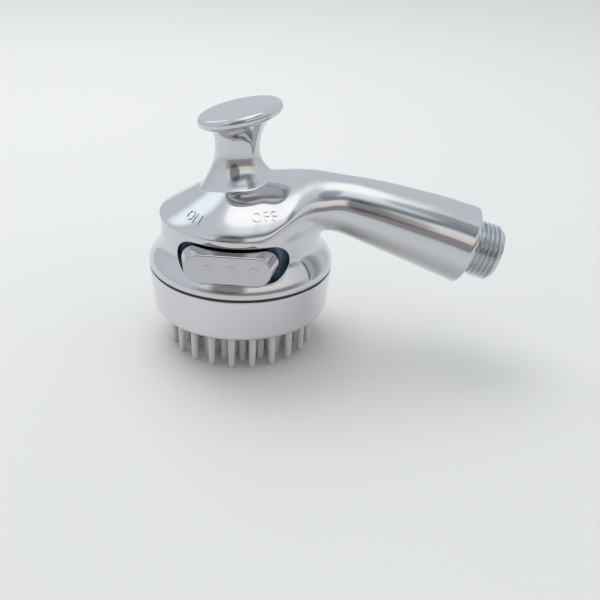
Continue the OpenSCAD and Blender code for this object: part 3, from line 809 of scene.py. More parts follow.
def skin_bottom(skin, form, switch, azimuth):
    """The skirt's lower face and the hollow of the head, which the switch's opening leads into."""
    edge_r = form.head - SKIRT_EDGE
    outline = [arc((edge_r, SKIRT_Z + SKIRT_EDGE), SKIRT_EDGE, 0, -90, 7), [(edge_r, SKIRT_Z), (CAVITY_R, SKIRT_Z)],
               CEILING]
    for stretch in outline:
        stretch = np.array(stretch, float)
        slope = np.gradient(stretch, axis=0)
        outward = unit(np.stack([-slope[:, 1], slope[:, 0]], -1))
        if stretch[0][1] == CAVITY_TOP:
            outward = unit(np.tile([-0.4, -1.0], (len(stretch), 1)))
        for mirrored in (False, True):
            skin.grid(lathe_points(stretch, -azimuth), lathe_points(outward, -azimuth), mirrored=mirrored)
    heights = np.linspace(SKIRT_Z, CAVITY_TOP, 22)
    points = lathe_points([(CAVITY_R, z) for z in heights], -azimuth)
    normals = lathe_points([(-1.0, 0.0)] * len(heights), -azimuth)
    skin.grid(points, normals, mirrored=True)
    rim = on_cavity(slot_loop(switch)[0])
    turn = np.arctan2(-rim[:, 1], rim[:, 0])
    hole = np.stack([CAVITY_R * turn, rim[:, 2]], -1)
    flat = np.stack([CAVITY_R * np.broadcast_to(azimuth, points.shape[:2]), points[..., 2]], -1)
    rim_n = np.stack([-np.cos(turn), np.sin(turn), 0 * turn], -1)
    cut_lattice(skin, points, normals, flat, (1, 21, *columns_between(azimuth, 34, 146)), hole, rim, rim_n)


def handle_mouth(skin, form, turn, last_x):
    """The rounded edge of the handle's end and the recess that the nipple's flange fills."""
    chamfer = 0.25
    axes, origin = handle_frame()
    a = np.radians(np.linspace(0, 90, 10))
    rounded = [(form.end - END_ROUND * (1 - math.cos(t)), END_ROUND * (1 - math.sin(t))) for t in a]
    corners = [rounded[-1], (RECESS_R + chamfer, 0), (RECESS_R, chamfer), (RECESS_R, RECESS_DEPTH), (0, RECESS_DEPTH)]
    facing = [(0, -1), (-0.7, -0.7), (-1, 0), (0, -1)]
    stretches = [(rounded, [(math.cos(t), -math.sin(t)) for t in a])]
    stretches += [(corners[k:k + 2], [way] * 2) for k, way in enumerate(facing)]
    for k, (outline, outward) in enumerate(stretches):
        points = lathe_points(outline, turn, (axes, origin))
        if k == 0:
            points[0] = form.section(np.full(len(turn), last_x), turn)
        skin.grid(points, lathe_points(outward, turn) @ axes.T, wrap=True)


# ------------------------------------------------------------------ the other pieces

def build_cap():
    """The finger cap: a slightly domed disc with a bull nose, tilted on its stem."""
    radius, nose, thickness, crown, blend_from = 15.6, 2.05, 4.1, 0.35, 0.6
    top_r = radius - nose
    top = [(r, thickness + crown * (1 - (r / top_r) ** 2)) for r in np.linspace(top_r - blend_from, 0, 14)]
    side = arc((top_r, nose), nose, -90, 84, 30)
    joint = curve_points(side[-1], side[-1] + (-0.35, 0.03), top[0] + np.array((0.3, -0.01)), top[0], 6)
    outline = np.concatenate([side, joint[1:], top[1:]])
    skin = Skin()
    lathe(skin, [[(0, 0), (top_r, 0)], outline], tilted_frame(COLLAR, CAP_TILT, CAP_SHIFT))
    return skin.build("finger_cap")


def build_ring():
    """The tapered lower ring with its rounded bottom edge."""
    top, bore, mouth = SKIRT_Z - 1, CHASSIS_R + 0.1, 29.0
    small, foot, soft = 0.3, 1.9, 0.35
    foot_r, top_r = 31.9, 35.0
    skin = Skin()
    lathe(skin, [
        [(mouth, PAD_FLANGE_Z), (mouth, RING_Z + small)],
        arc((mouth + small, RING_Z + small), small, 180, 270, 5),
        [(mouth + small, RING_Z), (foot_r, RING_Z)],
        np.concatenate([arc((foot_r, RING_Z + foot), foot, -90, -3, 16),
                        curve_points((33.83, RING_Z + 2.3), (34.05, 21.0), (34.6, 27.0), (top_r, top - soft), 16)]),
        arc((top_r - soft, top - soft), soft, 0, 90, 6),
        [(top_r - soft, top), (bore, top)],
        [(bore, top), (bore, PAD_FLANGE_Z)],
        [(bore, PAD_FLANGE_Z), (mouth, PAD_FLANGE_Z)],
    ], turns=160)
    return skin.build("lower_ring")


def build_gasket():
    """The black line of the gasket, a soft square ring with a slightly bulging edge."""
    bulge, inner, low, high = 34.83, CHASSIS_R + 0.1, SKIRT_Z - 1, SKIRT_Z
    edge = bulge - 0.18
    skin = Skin()
    lathe(skin, [
        [(inner, high), (inner, low)],
        [(inner, low), (edge, low)],
        curve_points((edge, low), (bulge, low + 0.1), (bulge, high - 0.1), (edge, high), 9),
        [(edge, high), (inner, high)],
    ], turns=160)
    return skin.build("gasket_line")


def row_places(rows):
    """Centres of the rows of bristles or holes."""
    places = []
    for count, radius, start in rows:
        a = np.radians(start + 360.0 * np.arange(count) / count)
        places.append(np.stack([radius * np.cos(a), radius * np.sin(a)], -1))
    return np.concatenate(places)


def build_pad():
    """The elastomer pad, with its spray holes."""
    rim, flange, soft, sides = 28.9, CHASSIS_R - 0.1, 0.3, 16
    border = (rim - soft) * circle_points(160)
    centres = row_places(HOLE_ROWS)
    holes = [centre + HOLE_R * circle_points(sides) for centre in centres]
    triangles, _ = triangulate(border, holes)
    skin = Skin()
    for z, edge, facing in ((PAD_FACE_Z, border, -1.0), (PLATE_Z, border * (flange / (rim - soft)), 1.0)):
        flat = np.concatenate([edge, *holes])
        points = np.concatenate([flat, np.full((len(flat), 1), z)], 1)
        skin.patch(points, np.tile([0, 0, facing], (len(points), 1)), triangles.tolist())
    for hole, centre in zip(holes, centres):
        wall = np.stack([np.concatenate([hole, np.full((sides, 1), z)], 1) for z in (PAD_FACE_Z, PLATE_Z)])
        skin.grid(wall, unit(np.concatenate([centre - hole, np.zeros((sides, 1))], 1)), wrap=True)
    lathe(skin, [
        arc((rim - soft, PAD_FACE_Z + soft), soft, -90, 0, 5),
        [(rim, PAD_FACE_Z + soft), (rim, PAD_FLANGE_Z)],
        [(rim, PAD_FLANGE_Z), (flange, PAD_FLANGE_Z)],
        [(flange, PAD_FLANGE_Z), (flange, PLATE_Z)],
    ], turns=160)
    return skin.build("bristle_base")


def bristle_tree(material):
    """A node tree that stands one tapered, round-tipped bristle on each point."""
    tree = bpy.data.node_groups.new("Bristles", "GeometryNodeTree")
    face = tree.interface
    face.new_socket("Places", in_out="INPUT", socket_type="NodeSocketGeometry")
    for name, kind in (("Root radius", "Float"), ("Tip radius", "Float"), ("Length", "Float"),
                       ("Lean", "Float"), ("Sides", "Int"), ("Seed", "Int")):
        face.new_socket(name, in_out="INPUT", socket_type="NodeSocket" + kind)
    face.new_socket("Bristles", in_out="OUTPUT", socket_type="NodeSocketGeometry")
    nodes, links = tree.nodes, tree.links
    into, out = nodes.new("NodeGroupInput"), nodes.new("NodeGroupOutput")

    def maths(operation, a, b):
        """The result of one sum of two values or sockets."""
        node = nodes.new("ShaderNodeMath")
        node.operation = operation
        for socket, value in zip(node.inputs, (a, b)):
            if isinstance(value, (int, float)):
                socket.default_value = value
            else:
                links.new(value, socket)
        return node.outputs[0]

    line, resample = nodes.new("GeometryNodeCurvePrimitiveLine"), nodes.new("GeometryNodeResampleCurve")
    resample.inputs["Count"].default_value = 13
    links.new(line.outputs[0], resample.inputs["Curve"])
    # the rings of points crowd toward the tip, where the bristle rounds off
    crowded = maths("POWER", nodes.new("GeometryNodeSplineParameter").outputs["Factor"], 2.2)
    spread, move = nodes.new("ShaderNodeCombineXYZ"), nodes.new("GeometryNodeSetPosition")
    links.new(maths("MULTIPLY", crowded, into.outputs["Length"]), spread.inputs["Z"])
    links.new(resample.outputs[0], move.inputs["Geometry"])
    links.new(spread.outputs[0], move.inputs["Position"])
    split = nodes.new("ShaderNodeSeparateXYZ")
    links.new(nodes.new("GeometryNodeInputPosition").outputs[0], split.inputs[0])
    z = split.outputs["Z"]
    taper = maths("DIVIDE", z, into.outputs["Length"])
    growth = maths("SUBTRACT", into.outputs["Root radius"], into.outputs["Tip radius"])
    straight = maths("ADD", into.outputs["Tip radius"], maths("MULTIPLY", taper, growth))
    short = maths("MINIMUM", maths("DIVIDE", z, into.outputs["Tip radius"]), 1.0)
    fall = maths("SUBTRACT", 1.0, short)
    round_tip = maths("SQRT", maths("MAXIMUM", maths("SUBTRACT", 1.0, maths("MULTIPLY", fall, fall)), 0.06), 0.0)
    radius = maths("MULTIPLY", straight, round_tip)
    thick = nodes.new("GeometryNodeSetCurveRadius")
    links.new(move.outputs[0], thick.inputs["Curve"])
    links.new(radius, thick.inputs["Radius"])
    ring, skin = nodes.new("GeometryNodeCurvePrimitiveCircle"), nodes.new("GeometryNodeCurveToMesh")
    links.new(into.outputs["Sides"], ring.inputs["Resolution"])
    ring.inputs["Radius"].default_value = 1.0
    links.new(thick.outputs[0], skin.inputs["Curve"])
    links.new(ring.outputs[0], skin.inputs["Profile Curve"])
    if "Scale" in skin.inputs:
        links.new(radius, skin.inputs["Scale"])
    skin.inputs["Fill Caps"].default_value = True
    shade, stand = nodes.new("GeometryNodeSetShadeSmooth"), nodes.new("GeometryNodeInstanceOnPoints")
    links.new(skin.outputs[0], shade.inputs["Geometry"])
    lean = nodes.new("FunctionNodeRandomValue")
    lean.data_type = "FLOAT_VECTOR"
    for limit, way in zip(lean.inputs, (-1.0, 1.0)):
        corner = nodes.new("ShaderNodeCombineXYZ")
        for side in "XY":
            links.new(maths("MULTIPLY", into.outputs["Lean"], way), corner.inputs[side])
        links.new(corner.outputs[0], limit)
    links.new(into.outputs["Seed"], lean.inputs["Seed"])
    links.new(into.outputs["Places"], stand.inputs["Points"])
    links.new(shade.outputs[0], stand.inputs["Instance"])
    links.new(lean.outputs[0], stand.inputs["Rotation"])
    real, paint = nodes.new("GeometryNodeRealizeInstances"), nodes.new("GeometryNodeSetMaterial")
    paint.inputs["Material"].default_value = material
    links.new(stand.outputs[0], real.inputs[0])
    links.new(real.outputs[0], paint.inputs["Geometry"])
    links.new(paint.outputs[0], out.inputs[0])
    return tree


def apply_tree(piece, tree, values, name):
    """Runs a node tree on a piece and returns the result as a plain mesh object."""
    modifier = piece.modifiers.new("Nodes", "NODES")
    modifier.node_group = tree
    for item in tree.interface.items_tree:
        if item.in_out == "INPUT" and item.name in values:
            modifier[item.identifier] = values[item.name]
    mesh = mesh_of(piece)
    mesh.name = name
    return place(bpy.data.objects.new(name, mesh))


def build_bristles(sizes, material):
    """Rings of bristles whose tips lie in the plane z = 0."""
    mesh = bpy.data.meshes.new("bristle_places")
    mesh.from_pydata([(x * MM, y * MM, 0.0) for x, y in row_places(BRISTLE_ROWS)], [], [])
    seed_piece = place(bpy.data.objects.new("bristle_places", mesh))
    values = {"Root radius": sizes.root_radius, "Tip radius": sizes.tip_radius, "Length": sizes.bristle_length,
              "Lean": BRISTLE_LEAN, "Sides": sizes.sides, "Seed": sizes.seed}
    return apply_tree(seed_piece, bristle_tree(material), values, "bristles")


def build_nipple(sizes):
    """The plated nipple with its helical thread, in the handle's end frame."""
    axes, origin = handle_frame()
    crest, pitch, depth, exposed = (v / MM for v in (sizes.crest_radius, sizes.pitch, sizes.depth, sizes.exposed))
    relief, bevel, bore, mouth = 1.3, 0.9, 7.5, 0.4
    flange_r, flange_from, flange_to, soft = RECESS_R - 0.1, 0.6, RECESS_DEPTH - 0.1, 0.25
    turn, tip = full_turn(96), -exposed
    z = np.arange(tip + bevel, -relief, pitch / 16)[:, None]
    phase = (z / pitch - turn / (2 * math.pi)) % 1.0
    ridge = np.clip(0.5 + (np.abs(phase - 0.5) * 2 - 0.5) * 1.25, 0, 1)
    ridge = ridge * ridge * (3 - 2 * ridge)
    fade = ease(-relief, -relief - 2.2, z) * ease(tip + bevel - 0.2, tip + bevel + 0.8, z)
    radius = crest - depth + depth * np.maximum(ridge * fade, 0)
    points = np.stack([radius * np.cos(turn), radius * np.sin(turn), z + 0 * turn], -1)
    normals = lattice_normals(points, wrap=True)
    normals *= np.sign((normals * points * (1, 1, 0)).sum())
    skin = Skin()
    skin.grid(points @ axes.T + origin, normals @ axes.T, wrap=True)
    root, end_z = crest - depth, float(z[-1, 0])
    # outline from the thread's root over the flange and through the bore to the tip; z runs into the handle
    lathe(skin, [
        [(root, end_z), (root, flange_from)],
        [(root, flange_from), (flange_r - soft, flange_from)],
        arc((flange_r - soft, flange_from + soft), soft, -90, 0, 5),
        [(flange_r, flange_from + soft), (flange_r, flange_to)],
        [(flange_r, flange_to), (bore, flange_to)],
        [(bore, flange_to), (bore, tip + mouth)],
        [(bore, tip + mouth), (bore + mouth, tip)],
        [(bore + mouth, tip), (root - mouth, tip)],
        [(root - mouth, tip), (root, tip + bevel)],
    ], (axes, origin), turns=96)
    return skin.build("threaded_nipple")


def build_button(switch):
    """The slide button: a drafted stadium with softened edges and three low round marks."""
    face_l, face_h = switch.face_length / MM, switch.face_height / MM
    count = len(stadium(*BUTTON_BASE)[0])

    def ring(l, h, y, z=FACE_Z):
        """One outline of the button, at a depth y and a height z of its middle."""
        loop, _ = stadium(l, h)
        closed = np.concatenate([loop, loop[:1]])
        along = lengths_along(closed)
        spread = np.linspace(0, 1, count, endpoint=False) * along[-1]
        even = np.stack([np.interp(spread, along, closed[:, k]) for k in (0, 1)], -1)
        return np.stack([BUTTON_X + even[:, 0], np.full(count, y), z + even[:, 1]], -1)

    base_y, draft_y = BUTTON_BASE_Y
    sides = [ring(*BUTTON_BASE, y, SLOT_Z) for y in (BUTTON_BACK_Y, base_y)]
    draft = [ring(mix(BUTTON_BASE[0], face_l, t), mix(BUTTON_BASE[1], face_h, t),
                  mix(draft_y, BUTTON_FACE_Y + BUTTON_ROUND, t), mix(SLOT_Z, FACE_Z, t))
             for t in np.linspace(0, 1, 9)]
    nose = []
    for t in np.radians(np.linspace(0, 90, 8))[1:]:
        less = 2 * BUTTON_ROUND * (1 - math.cos(t))
        nose.append(ring(face_l - less, face_h - less, BUTTON_FACE_Y + BUTTON_ROUND * (1 - math.sin(t))))
    skin = Skin()
    outer = np.stack(sides + draft + nose)
    normals = lattice_normals(outer, wrap=True)
    away = outer[5] - (BUTTON_X, 0, SLOT_Z)
    normals *= np.sign((normals[5] * away * (1, 0, 1)).sum())
    normals[-1] = (0, -1, 0)
    skin.grid(outer, normals, wrap=True)
    mark_r, circle = switch.mark_radius / MM, circle_points(32)
    centres = [np.array([BUTTON_X + dx, FACE_Z + 0.2]) for dx in MARKS]
    holes = [c + mark_r * circle for c in centres]
    border = outer[-1][:, [0, 2]]
    triangles, _ = triangulate(border, holes)
    flat = np.concatenate([border, *holes])
    front = np.stack([flat[:, 0], np.full(len(flat), BUTTON_FACE_Y), flat[:, 1]], -1)
    skin.patch(front, np.tile([0, -1.0, 0], (len(front), 1)), triangles.tolist())
    # each mark rises in a quarter round, which is flat in its middle
    around = np.stack([circle[:, 0], 0 * circle[:, 0], circle[:, 1]], -1)
    out_part = np.append(np.sin(np.linspace(math.pi / 2, 0, 7)), 0.0)[:, None, None]
    up_part = np.sqrt(1 - out_part ** 2)
    reach = np.append(mark_r - MARK_EDGE * (1 - out_part[:-1, 0, 0]), 0.0)[:, None, None]
    mark_n = unit(around * out_part / MARK_EDGE - np.array([0, 1, 0]) * up_part / MARK_RISE)
    for c in centres:
        pad = np.array([c[0], BUTTON_FACE_Y, c[1]]) + reach * around - (0, MARK_RISE, 0) * up_part
        skin.grid(pad, mark_n, wrap=True)
    back = np.stack([outer[0], np.broadcast_to(outer[0].mean(0), outer[0].shape)])
    skin.grid(back, (0, 1.0, 0), wrap=True)
    return skin.build("slide_button")


def build_word(form, switch, word, azimuth, height, slant):
    """A word in raised letters, wrapped on the crown above the opening."""
    size, relief, depth = switch.letter_height / MM, switch.letter_raise / MM, 0.4
    name = "word_" + word.lower()
    font = bpy.data.curves.new(name, "FONT")
    font.body, font.size, font.align_x = word, size / 0.7, "CENTER"
    font.space_character, font.resolution_u = 1.08, 6
    mesh = mesh_of(place(bpy.data.objects.new(name, font)))
    bpy.data.curves.remove(font)
    flat = np.array([v.co[:2] for v in mesh.vertices])
    loops = [list(p.vertices) for p in mesh.polygons]
    turned = math.radians(azimuth) - flat[:, 0] * WORD_STRETCH[0] / form.rim
    z = height + flat[:, 1] * WORD_STRETCH[1] + flat[:, 0] * slant
    # halves the gap until each point lies on the crown
    low, high = np.full(len(flat), 8.0), np.full(len(flat), form.rim)
    for _ in range(40):
        r = (low + high) / 2
        above = form.crown_z(r * np.cos(turned), -r * np.sin(turned)) > z
        low, high = np.where(above, r, low), np.where(above, high, r)
    points = np.stack([r * np.cos(turned), -r * np.sin(turned), z], -1)
    normals = form.crown_normals(points[:, 0], points[:, 1])
    mesh.clear_geometry()
    mesh.from_pydata(((points + normals * relief) * MM).tolist(), [], loops)
    mesh.update()
    piece = place(bpy.data.objects.new(name, mesh))
    thick = piece.modifiers.new("Relief", "SOLIDIFY")
    thick.thickness, thick.offset = depth * MM, -1.0
    return place(bpy.data.objects.new(name, mesh_of(piece)))


# ------------------------------------------------------------------ materials

def handling_group():
    """Faint smudges and fine marks of use: a roughness, a bump height and the mask of the smudges."""
    if "Handling marks" in bpy.data.node_groups:
        return bpy.data.node_groups["Handling marks"]
    group = bpy.data.node_groups.new("Handling marks", "ShaderNodeTree")
    for label, kind, value in (("Place", "Vector", None), ("Clean roughness", "Float", 0.04),
                               ("Smudge roughness", "Float", 0.12), ("Smudge size", "Float", 60.0),
                               ("Grain size", "Float", 2500.0)):
        socket = group.interface.new_socket(label, in_out="INPUT", socket_type="NodeSocket" + kind)
        if value is not None:
            socket.default_value = value
    for label in ("Roughness", "Height", "Mask"):
        group.interface.new_socket(label, in_out="OUTPUT", socket_type="NodeSocketFloat")
    nodes, links = group.nodes, group.links
    into, out = nodes.new("NodeGroupInput"), nodes.new("NodeGroupOutput")
    cloud, ramp = nodes.new("ShaderNodeTexNoise"), nodes.new("ShaderNodeValToRGB")
    cloud.inputs["Detail"].default_value = 5.0
    links.new(into.outputs["Place"], cloud.inputs["Vector"])
    links.new(into.outputs["Smudge size"], cloud.inputs["Scale"])
    ramp.color_ramp.elements[0].position, ramp.color_ramp.elements[1].position = 0.48, 0.78
    links.new(cloud.outputs[0], ramp.inputs[0])
    rough = nodes.new("ShaderNodeMapRange")
    links.new(ramp.outputs[0], rough.inputs["Value"])
    links.new(into.outputs["Clean roughness"], rough.inputs["To Min"])
    links.new(into.outputs["Smudge roughness"], rough.inputs["To Max"])
    grain = nodes.new("ShaderNodeTexNoise")
    links.new(into.outputs["Place"], grain.inputs["Vector"])
    links.new(into.outputs["Grain size"], grain.inputs["Scale"])
    links.new(rough.outputs[0], out.inputs["Roughness"])
    links.new(grain.outputs[0], out.inputs["Height"])
    links.new(ramp.outputs[0], out.inputs["Mask"])
    return group


def finish(name, tint, clean, smudge, metallic=0.0, bump=0.0, mottle=0.0, smudge_size=60.0, settings=()):
    """A finish: the colour, with handling marks in its roughness and a fine grain in its normal."""
    material = bpy.data.materials.new(name)
    material.use_nodes = True
    nodes, links = material.node_tree.nodes, material.node_tree.links
    shader, marks, blend = nodes["Principled BSDF"], nodes.new("ShaderNodeGroup"), nodes.new("ShaderNodeMix")
    marks.node_tree = handling_group()
    marks.inputs["Clean roughness"].default_value = clean
    marks.inputs["Smudge roughness"].default_value = smudge
    marks.inputs["Smudge size"].default_value = smudge_size
    links.new(nodes.new("ShaderNodeTexCoord").outputs["Object"], marks.inputs["Place"])
    links.new(marks.outputs["Roughness"], shader.inputs["Roughness"])
    shader.inputs["Metallic"].default_value = metallic
    blend.data_type = "RGBA"
    blend.inputs["A"].default_value = (*tint, 1)
    blend.inputs["B"].default_value = (*(c * (1 - mottle) for c in tint), 1)
    links.new(marks.outputs["Mask"], blend.inputs["Factor"])
    links.new(blend.outputs["Result"], shader.inputs["Base Color"])
    if bump:
        relief = nodes.new("ShaderNodeBump")
        relief.inputs["Distance"].default_value = bump * MM
        links.new(marks.outputs["Height"], relief.inputs["Height"])
        links.new(relief.outputs[0], shader.inputs["Normal"])
    for socket, value in settings:
        shader.inputs[socket].default_value = value
    return material


# Name of the finish of each slot, and of the ring's copy of the shell's chrome, painted lighter where the ring
# mirrors the shaded floor
FINISH_NAMES = {
    "plated_shell": "Polished chrome plate", "ring_chrome_painted_lighter": "Shell chrome painted lighter for the ring",
    "plated_button": "Chrome plate of the button", "plated_nipple": "Satin chrome on brass",
    "milky_elastomer": "Milky elastomer", "black_rubber": "Black rubber",
    "white_plastic": "White moulded plastic", "dark_plastic": "Glossy dark plastic", "screw_steel": "Screw steel",
}


def make_finishes(colours):
    """Every finish of the object: tint, roughness where clean and where handled, and its detail."""
    soft = [("Subsurface Weight", 0.35), ("Subsurface Radius", (0.004, 0.004, 0.0035)), ("Subsurface Scale", 1.0)]
    for slot, tint, clean, smudge, detail in (
        ("plated_shell", colours.chrome, 0.02, 0.05, {"metallic": 1.0, "mottle": 0.03, "smudge_size": 45.0}),
        # the ring's plate is the shell's chrome with a painted lighter tint, where it mirrors the floor in the head's
        # shadow
        ("ring_chrome_painted_lighter", colours.ring, 0.05, 0.09, {"metallic": 1.0, "mottle": 0.02}),
        ("plated_button", colours.button, 0.05, 0.1, {"metallic": 1.0, "mottle": 0.03}),
        ("plated_nipple", colours.nipple, 0.14, 0.22, {"metallic": 1.0, "mottle": 0.06}),
        ("milky_elastomer", colours.elastomer, 0.42, 0.55, {"bump": 0.02, "mottle": 0.06, "settings": soft}),
        ("black_rubber", colours.rubber, 0.55, 0.7, {"bump": 0.02, "mottle": 0.3}),
        ("white_plastic", colours.white, 0.32, 0.45, {"bump": 0.01, "mottle": 0.04}),
        ("dark_plastic", colours.dark, 0.1, 0.2, {"mottle": 0.2}),
        ("screw_steel", colours.steel, 0.22, 0.35, {"metallic": 1.0, "mottle": 0.08}),
    ):
        finish(FINISH_NAMES[slot], tint, clean, smudge, **detail)


# The slot of each CAD node
SLOTS = {
    "body_shell": "plated_shell", "knob_cap": "plated_shell", "head_ring": "plated_shell",
    "head_gasket": "black_rubber", "bristle_pad": "milky_elastomer", "spray_plate": "white_plastic",
    "plate_seal": "black_rubber", "chassis": "white_plastic", "chassis_screws": "screw_steel",
    "valve_block": "white_plastic", "block_screws": "screw_steel", "outlet_seal": "black_rubber",
    "inlet_elbow": "white_plastic", "elbow_seal": "black_rubber", "water_tube": "white_plastic",
    "tube_front_seal": "black_rubber", "tube_rear_seal": "black_rubber", "hose_nipple": "plated_nipple",
    "nipple_seal": "black_rubber", "flow_restrictor": "white_plastic", "switch_guide": "dark_plastic",
    "switch_button": "plated_button", "switch_carrier": "white_plastic", "valve_spool": "plated_nipple",
    "spool_seals": "black_rubber",
}


def finish_of(slot):
    """The finish of a slot."""
    return bpy.data.materials[FINISH_NAMES[slot]]


def dress(data, slot):
    """Gives a mesh one finish."""
    data.materials.clear()
    data.materials.append(finish_of(slot))


def fit(piece, slot, body, *nodes, look=None):
    """Gives a piece its finish and its body, and hides the CAD nodes that it stands for."""
    dress(piece.data, look or slot)
    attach(piece, body)
    if nodes:
        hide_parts(*nodes)


# ------------------------------------------------------------------ operators

class SPRAYER_OT_finishes(bpy.types.Operator):
    """Makes the finishes and gives the carried-over CAD nodes theirs"""
    bl_idname = "sprayer.finishes"
    bl_label = "Finishes"

    def execute(self, context):
        make_finishes(context.scene.sprayer_finishes)
        for node, slot in SLOTS.items():
            dress(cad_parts[node].data, slot)
        return {"FINISHED"}


class SPRAYER_OT_shell(bpy.types.Operator):
    """Makes the one-piece crown, neck, handle, skirt and stem"""
    bl_idname = "sprayer.shell"
    bl_label = "Shell moulding"

    def execute(self, context):
        piece = build_shell(context.scene.sprayer_shell, context.scene.sprayer_switch)
        fit(piece, "plated_shell", BODY, "body_shell")
        return {"FINISHED"}


class SPRAYER_OT_cap(bpy.types.Operator):
    """Makes the tilted finger cap"""
    bl_idname = "sprayer.cap"
    bl_label = "Finger cap"

    def execute(self, context):
        fit(build_cap(), "plated_shell", BODY, "knob_cap")
        return {"FINISHED"}


class SPRAYER_OT_ring(bpy.types.Operator):
    """Makes the lower ring and the gasket line above it"""
    bl_idname = "sprayer.ring"
    bl_label = "Ring and gasket"

    def execute(self, context):
        # the ring belongs to the shell's chrome slot; its paler copy is a painted lighter tone, where it mirrors the
        # shaded floor
        fit(build_ring(), "plated_shell", BODY, "head_ring", look="ring_chrome_painted_lighter")
        fit(build_gasket(), "black_rubber", BODY, "head_gasket")
        return {"FINISHED"}


class SPRAYER_OT_brush(bpy.types.Operator):
    """Makes the elastomer pad and its rings of bristles"""
    bl_idname = "sprayer.brush"
    bl_label = "Brush"

    def execute(self, context):
        fit(build_pad(), "milky_elastomer", BODY, "bristle_pad")
        bristles = build_bristles(context.scene.sprayer_brush, finish_of("milky_elastomer"))
        fit(bristles, "milky_elastomer", BODY, "bristle_pad")
        return {"FINISHED"}


class SPRAYER_OT_nipple(bpy.types.Operator):
    """Makes the hose nipple with its helical thread"""
    bl_idname = "sprayer.nipple"
    bl_label = "Hose nipple"

    def execute(self, context):
        fit(build_nipple(context.scene.sprayer_thread), "plated_nipple", BODY, "hose_nipple")
        return {"FINISHED"}


class SPRAYER_OT_switch(bpy.types.Operator):
    """Makes the slide button and the words above the opening"""
    bl_idname = "sprayer.switch"
    bl_label = "Slide switch"

    def execute(self, context):
        switch, form = context.scene.sprayer_switch, ShellForm(context.scene.sprayer_shell)
        fit(build_button(switch), "plated_button", SLIDER, "switch_button")
        for word in WORDS:
            fit(build_word(form, switch, *word), "plated_shell", BODY)
        return {"FINISHED"}


class SPRAYER_OT_stage(bpy.types.Operator):
    """Makes the floor, the soft light and the camera"""
    bl_idname = "sprayer.stage"
    bl_label = "Stage"

    def execute(self, context):
        studio = context.scene.sprayer_studio
        make_floor(studio)
        make_world(studio)
        make_lamp(studio)
        make_camera()
        context.scene.view_settings.view_transform = "Standard"
        return {"FINISHED"}


# ------------------------------------------------------------------ stage

def make_floor(studio):
    """A plain pale floor."""
    corners = [(x * FLOOR_HALF, y * FLOOR_HALF, 0) for x, y in ((-1, -1), (1, -1), (1, 1), (-1, 1))]
    mesh = bpy.data.meshes.new("floor")
    mesh.from_pydata(corners, [], [(0, 1, 2, 3)])
    mesh.materials.append(finish("Floor paper", studio.floor, 0.8, 0.9, mottle=0.01, smudge_size=3.0))
    place(bpy.data.objects.new("floor", mesh))


def make_world(studio):
    """Soft light from all round, with the bands of a room that plated metal mirrors. The camera sees it pale."""
    world = bpy.data.worlds.new("studio")
    bpy.context.scene.world = world
    world.use_nodes = True
    nodes, links = world.node_tree.nodes, world.node_tree.links
    nodes.clear()
    out, room, plain, choose = (nodes.new(kind) for kind in (
        "ShaderNodeOutputWorld", "ShaderNodeBackground", "ShaderNodeBackground", "ShaderNodeMixShader"))
    way, split = nodes.new("ShaderNodeTexCoord").outputs["Generated"], nodes.new("ShaderNodeSeparateXYZ")
    links.new(way, split.inputs[0])
    angle, elevation = nodes.new("ShaderNodeMath"), nodes.new("ShaderNodeMath")
    angle.operation, elevation.operation = "ARCSINE", "MULTIPLY"
    links.new(split.outputs["Z"], angle.inputs[0])
    elevation.inputs[1].default_value = 2 / math.pi
    links.new(angle.outputs[0], elevation.inputs[0])

    def ramp(stops):
        """The colour at each elevation, in degrees above the horizon."""
        node = nodes.new("ShaderNodeValToRGB")
        elements = node.color_ramp.elements
        while len(elements) < len(stops):
            elements.new(0.5)
        for element, (degrees, tone) in zip(elements, stops):
            element.position, element.color = degrees / 90, (*tone, 1)
        links.new(elevation.outputs[0], node.inputs[0])
        return node.outputs[0]

    def share(direction, low, high):
        """How near the view is to a direction: 0 where their product is low, 1 where it is high."""
        near, edge = nodes.new("ShaderNodeVectorMath"), nodes.new("ShaderNodeMapRange")
        near.operation, edge.interpolation_type = "DOT_PRODUCT", "SMOOTHSTEP"
        near.inputs[1].default_value = direction
        links.new(way, near.inputs[0])
        edge.inputs["From Min"].default_value, edge.inputs["From Max"].default_value = low, high
        links.new(near.outputs["Value"], edge.inputs["Value"])
        return edge.outputs[0]

    def blend(factor, a, b, kind="MIX"):
        """Two colours blended by a factor; the second may be a plain grey."""
        node = nodes.new("ShaderNodeMix")
        node.data_type, node.blend_type = "RGBA", kind
        links.new(factor, node.inputs["Factor"])
        links.new(a, node.inputs["A"])
        if isinstance(b, float):
            node.inputs["B"].default_value = (b, b, b, 1)
        else:
            links.new(b, node.inputs["B"])
        return node.outputs["Result"]

    tone = blend(share(FRONT_WAY, *FRONT_EDGE), ramp(REAR_ROOM), ramp(FRONT_ROOM))
    for turn, rise, reach, soft, gain in ROOM_PATCHES:
        c, s = math.cos(math.radians(rise)), math.sin(math.radians(rise))
        direction = (math.sin(math.radians(turn)) * c, -math.cos(math.radians(turn)) * c, s)
        limits = (math.cos(math.radians(a)) for a in (reach + soft, reach))
        tone = blend(share(direction, *limits), tone, gain, "MULTIPLY")
    links.new(tone, room.inputs["Color"])
    room.inputs["Strength"].default_value = studio.world_level
    plain.inputs["Color"].default_value = (BACKDROP, BACKDROP, BACKDROP, 1)
    links.new(nodes.new("ShaderNodeLightPath").outputs["Is Camera Ray"], choose.inputs[0])
    links.new(room.outputs[0], choose.inputs[1])
    links.new(plain.outputs[0], choose.inputs[2])
    links.new(choose.outputs[0], out.inputs[0])


def aim(piece, right, up, toward, at):
    """Places a lamp or camera, which looks along its own -z."""
    axes = np.stack([right, up, -toward], 1)
    piece.matrix_world = Matrix([[*row, p] for row, p in zip(axes, at)] + [[0, 0, 0, 1]])


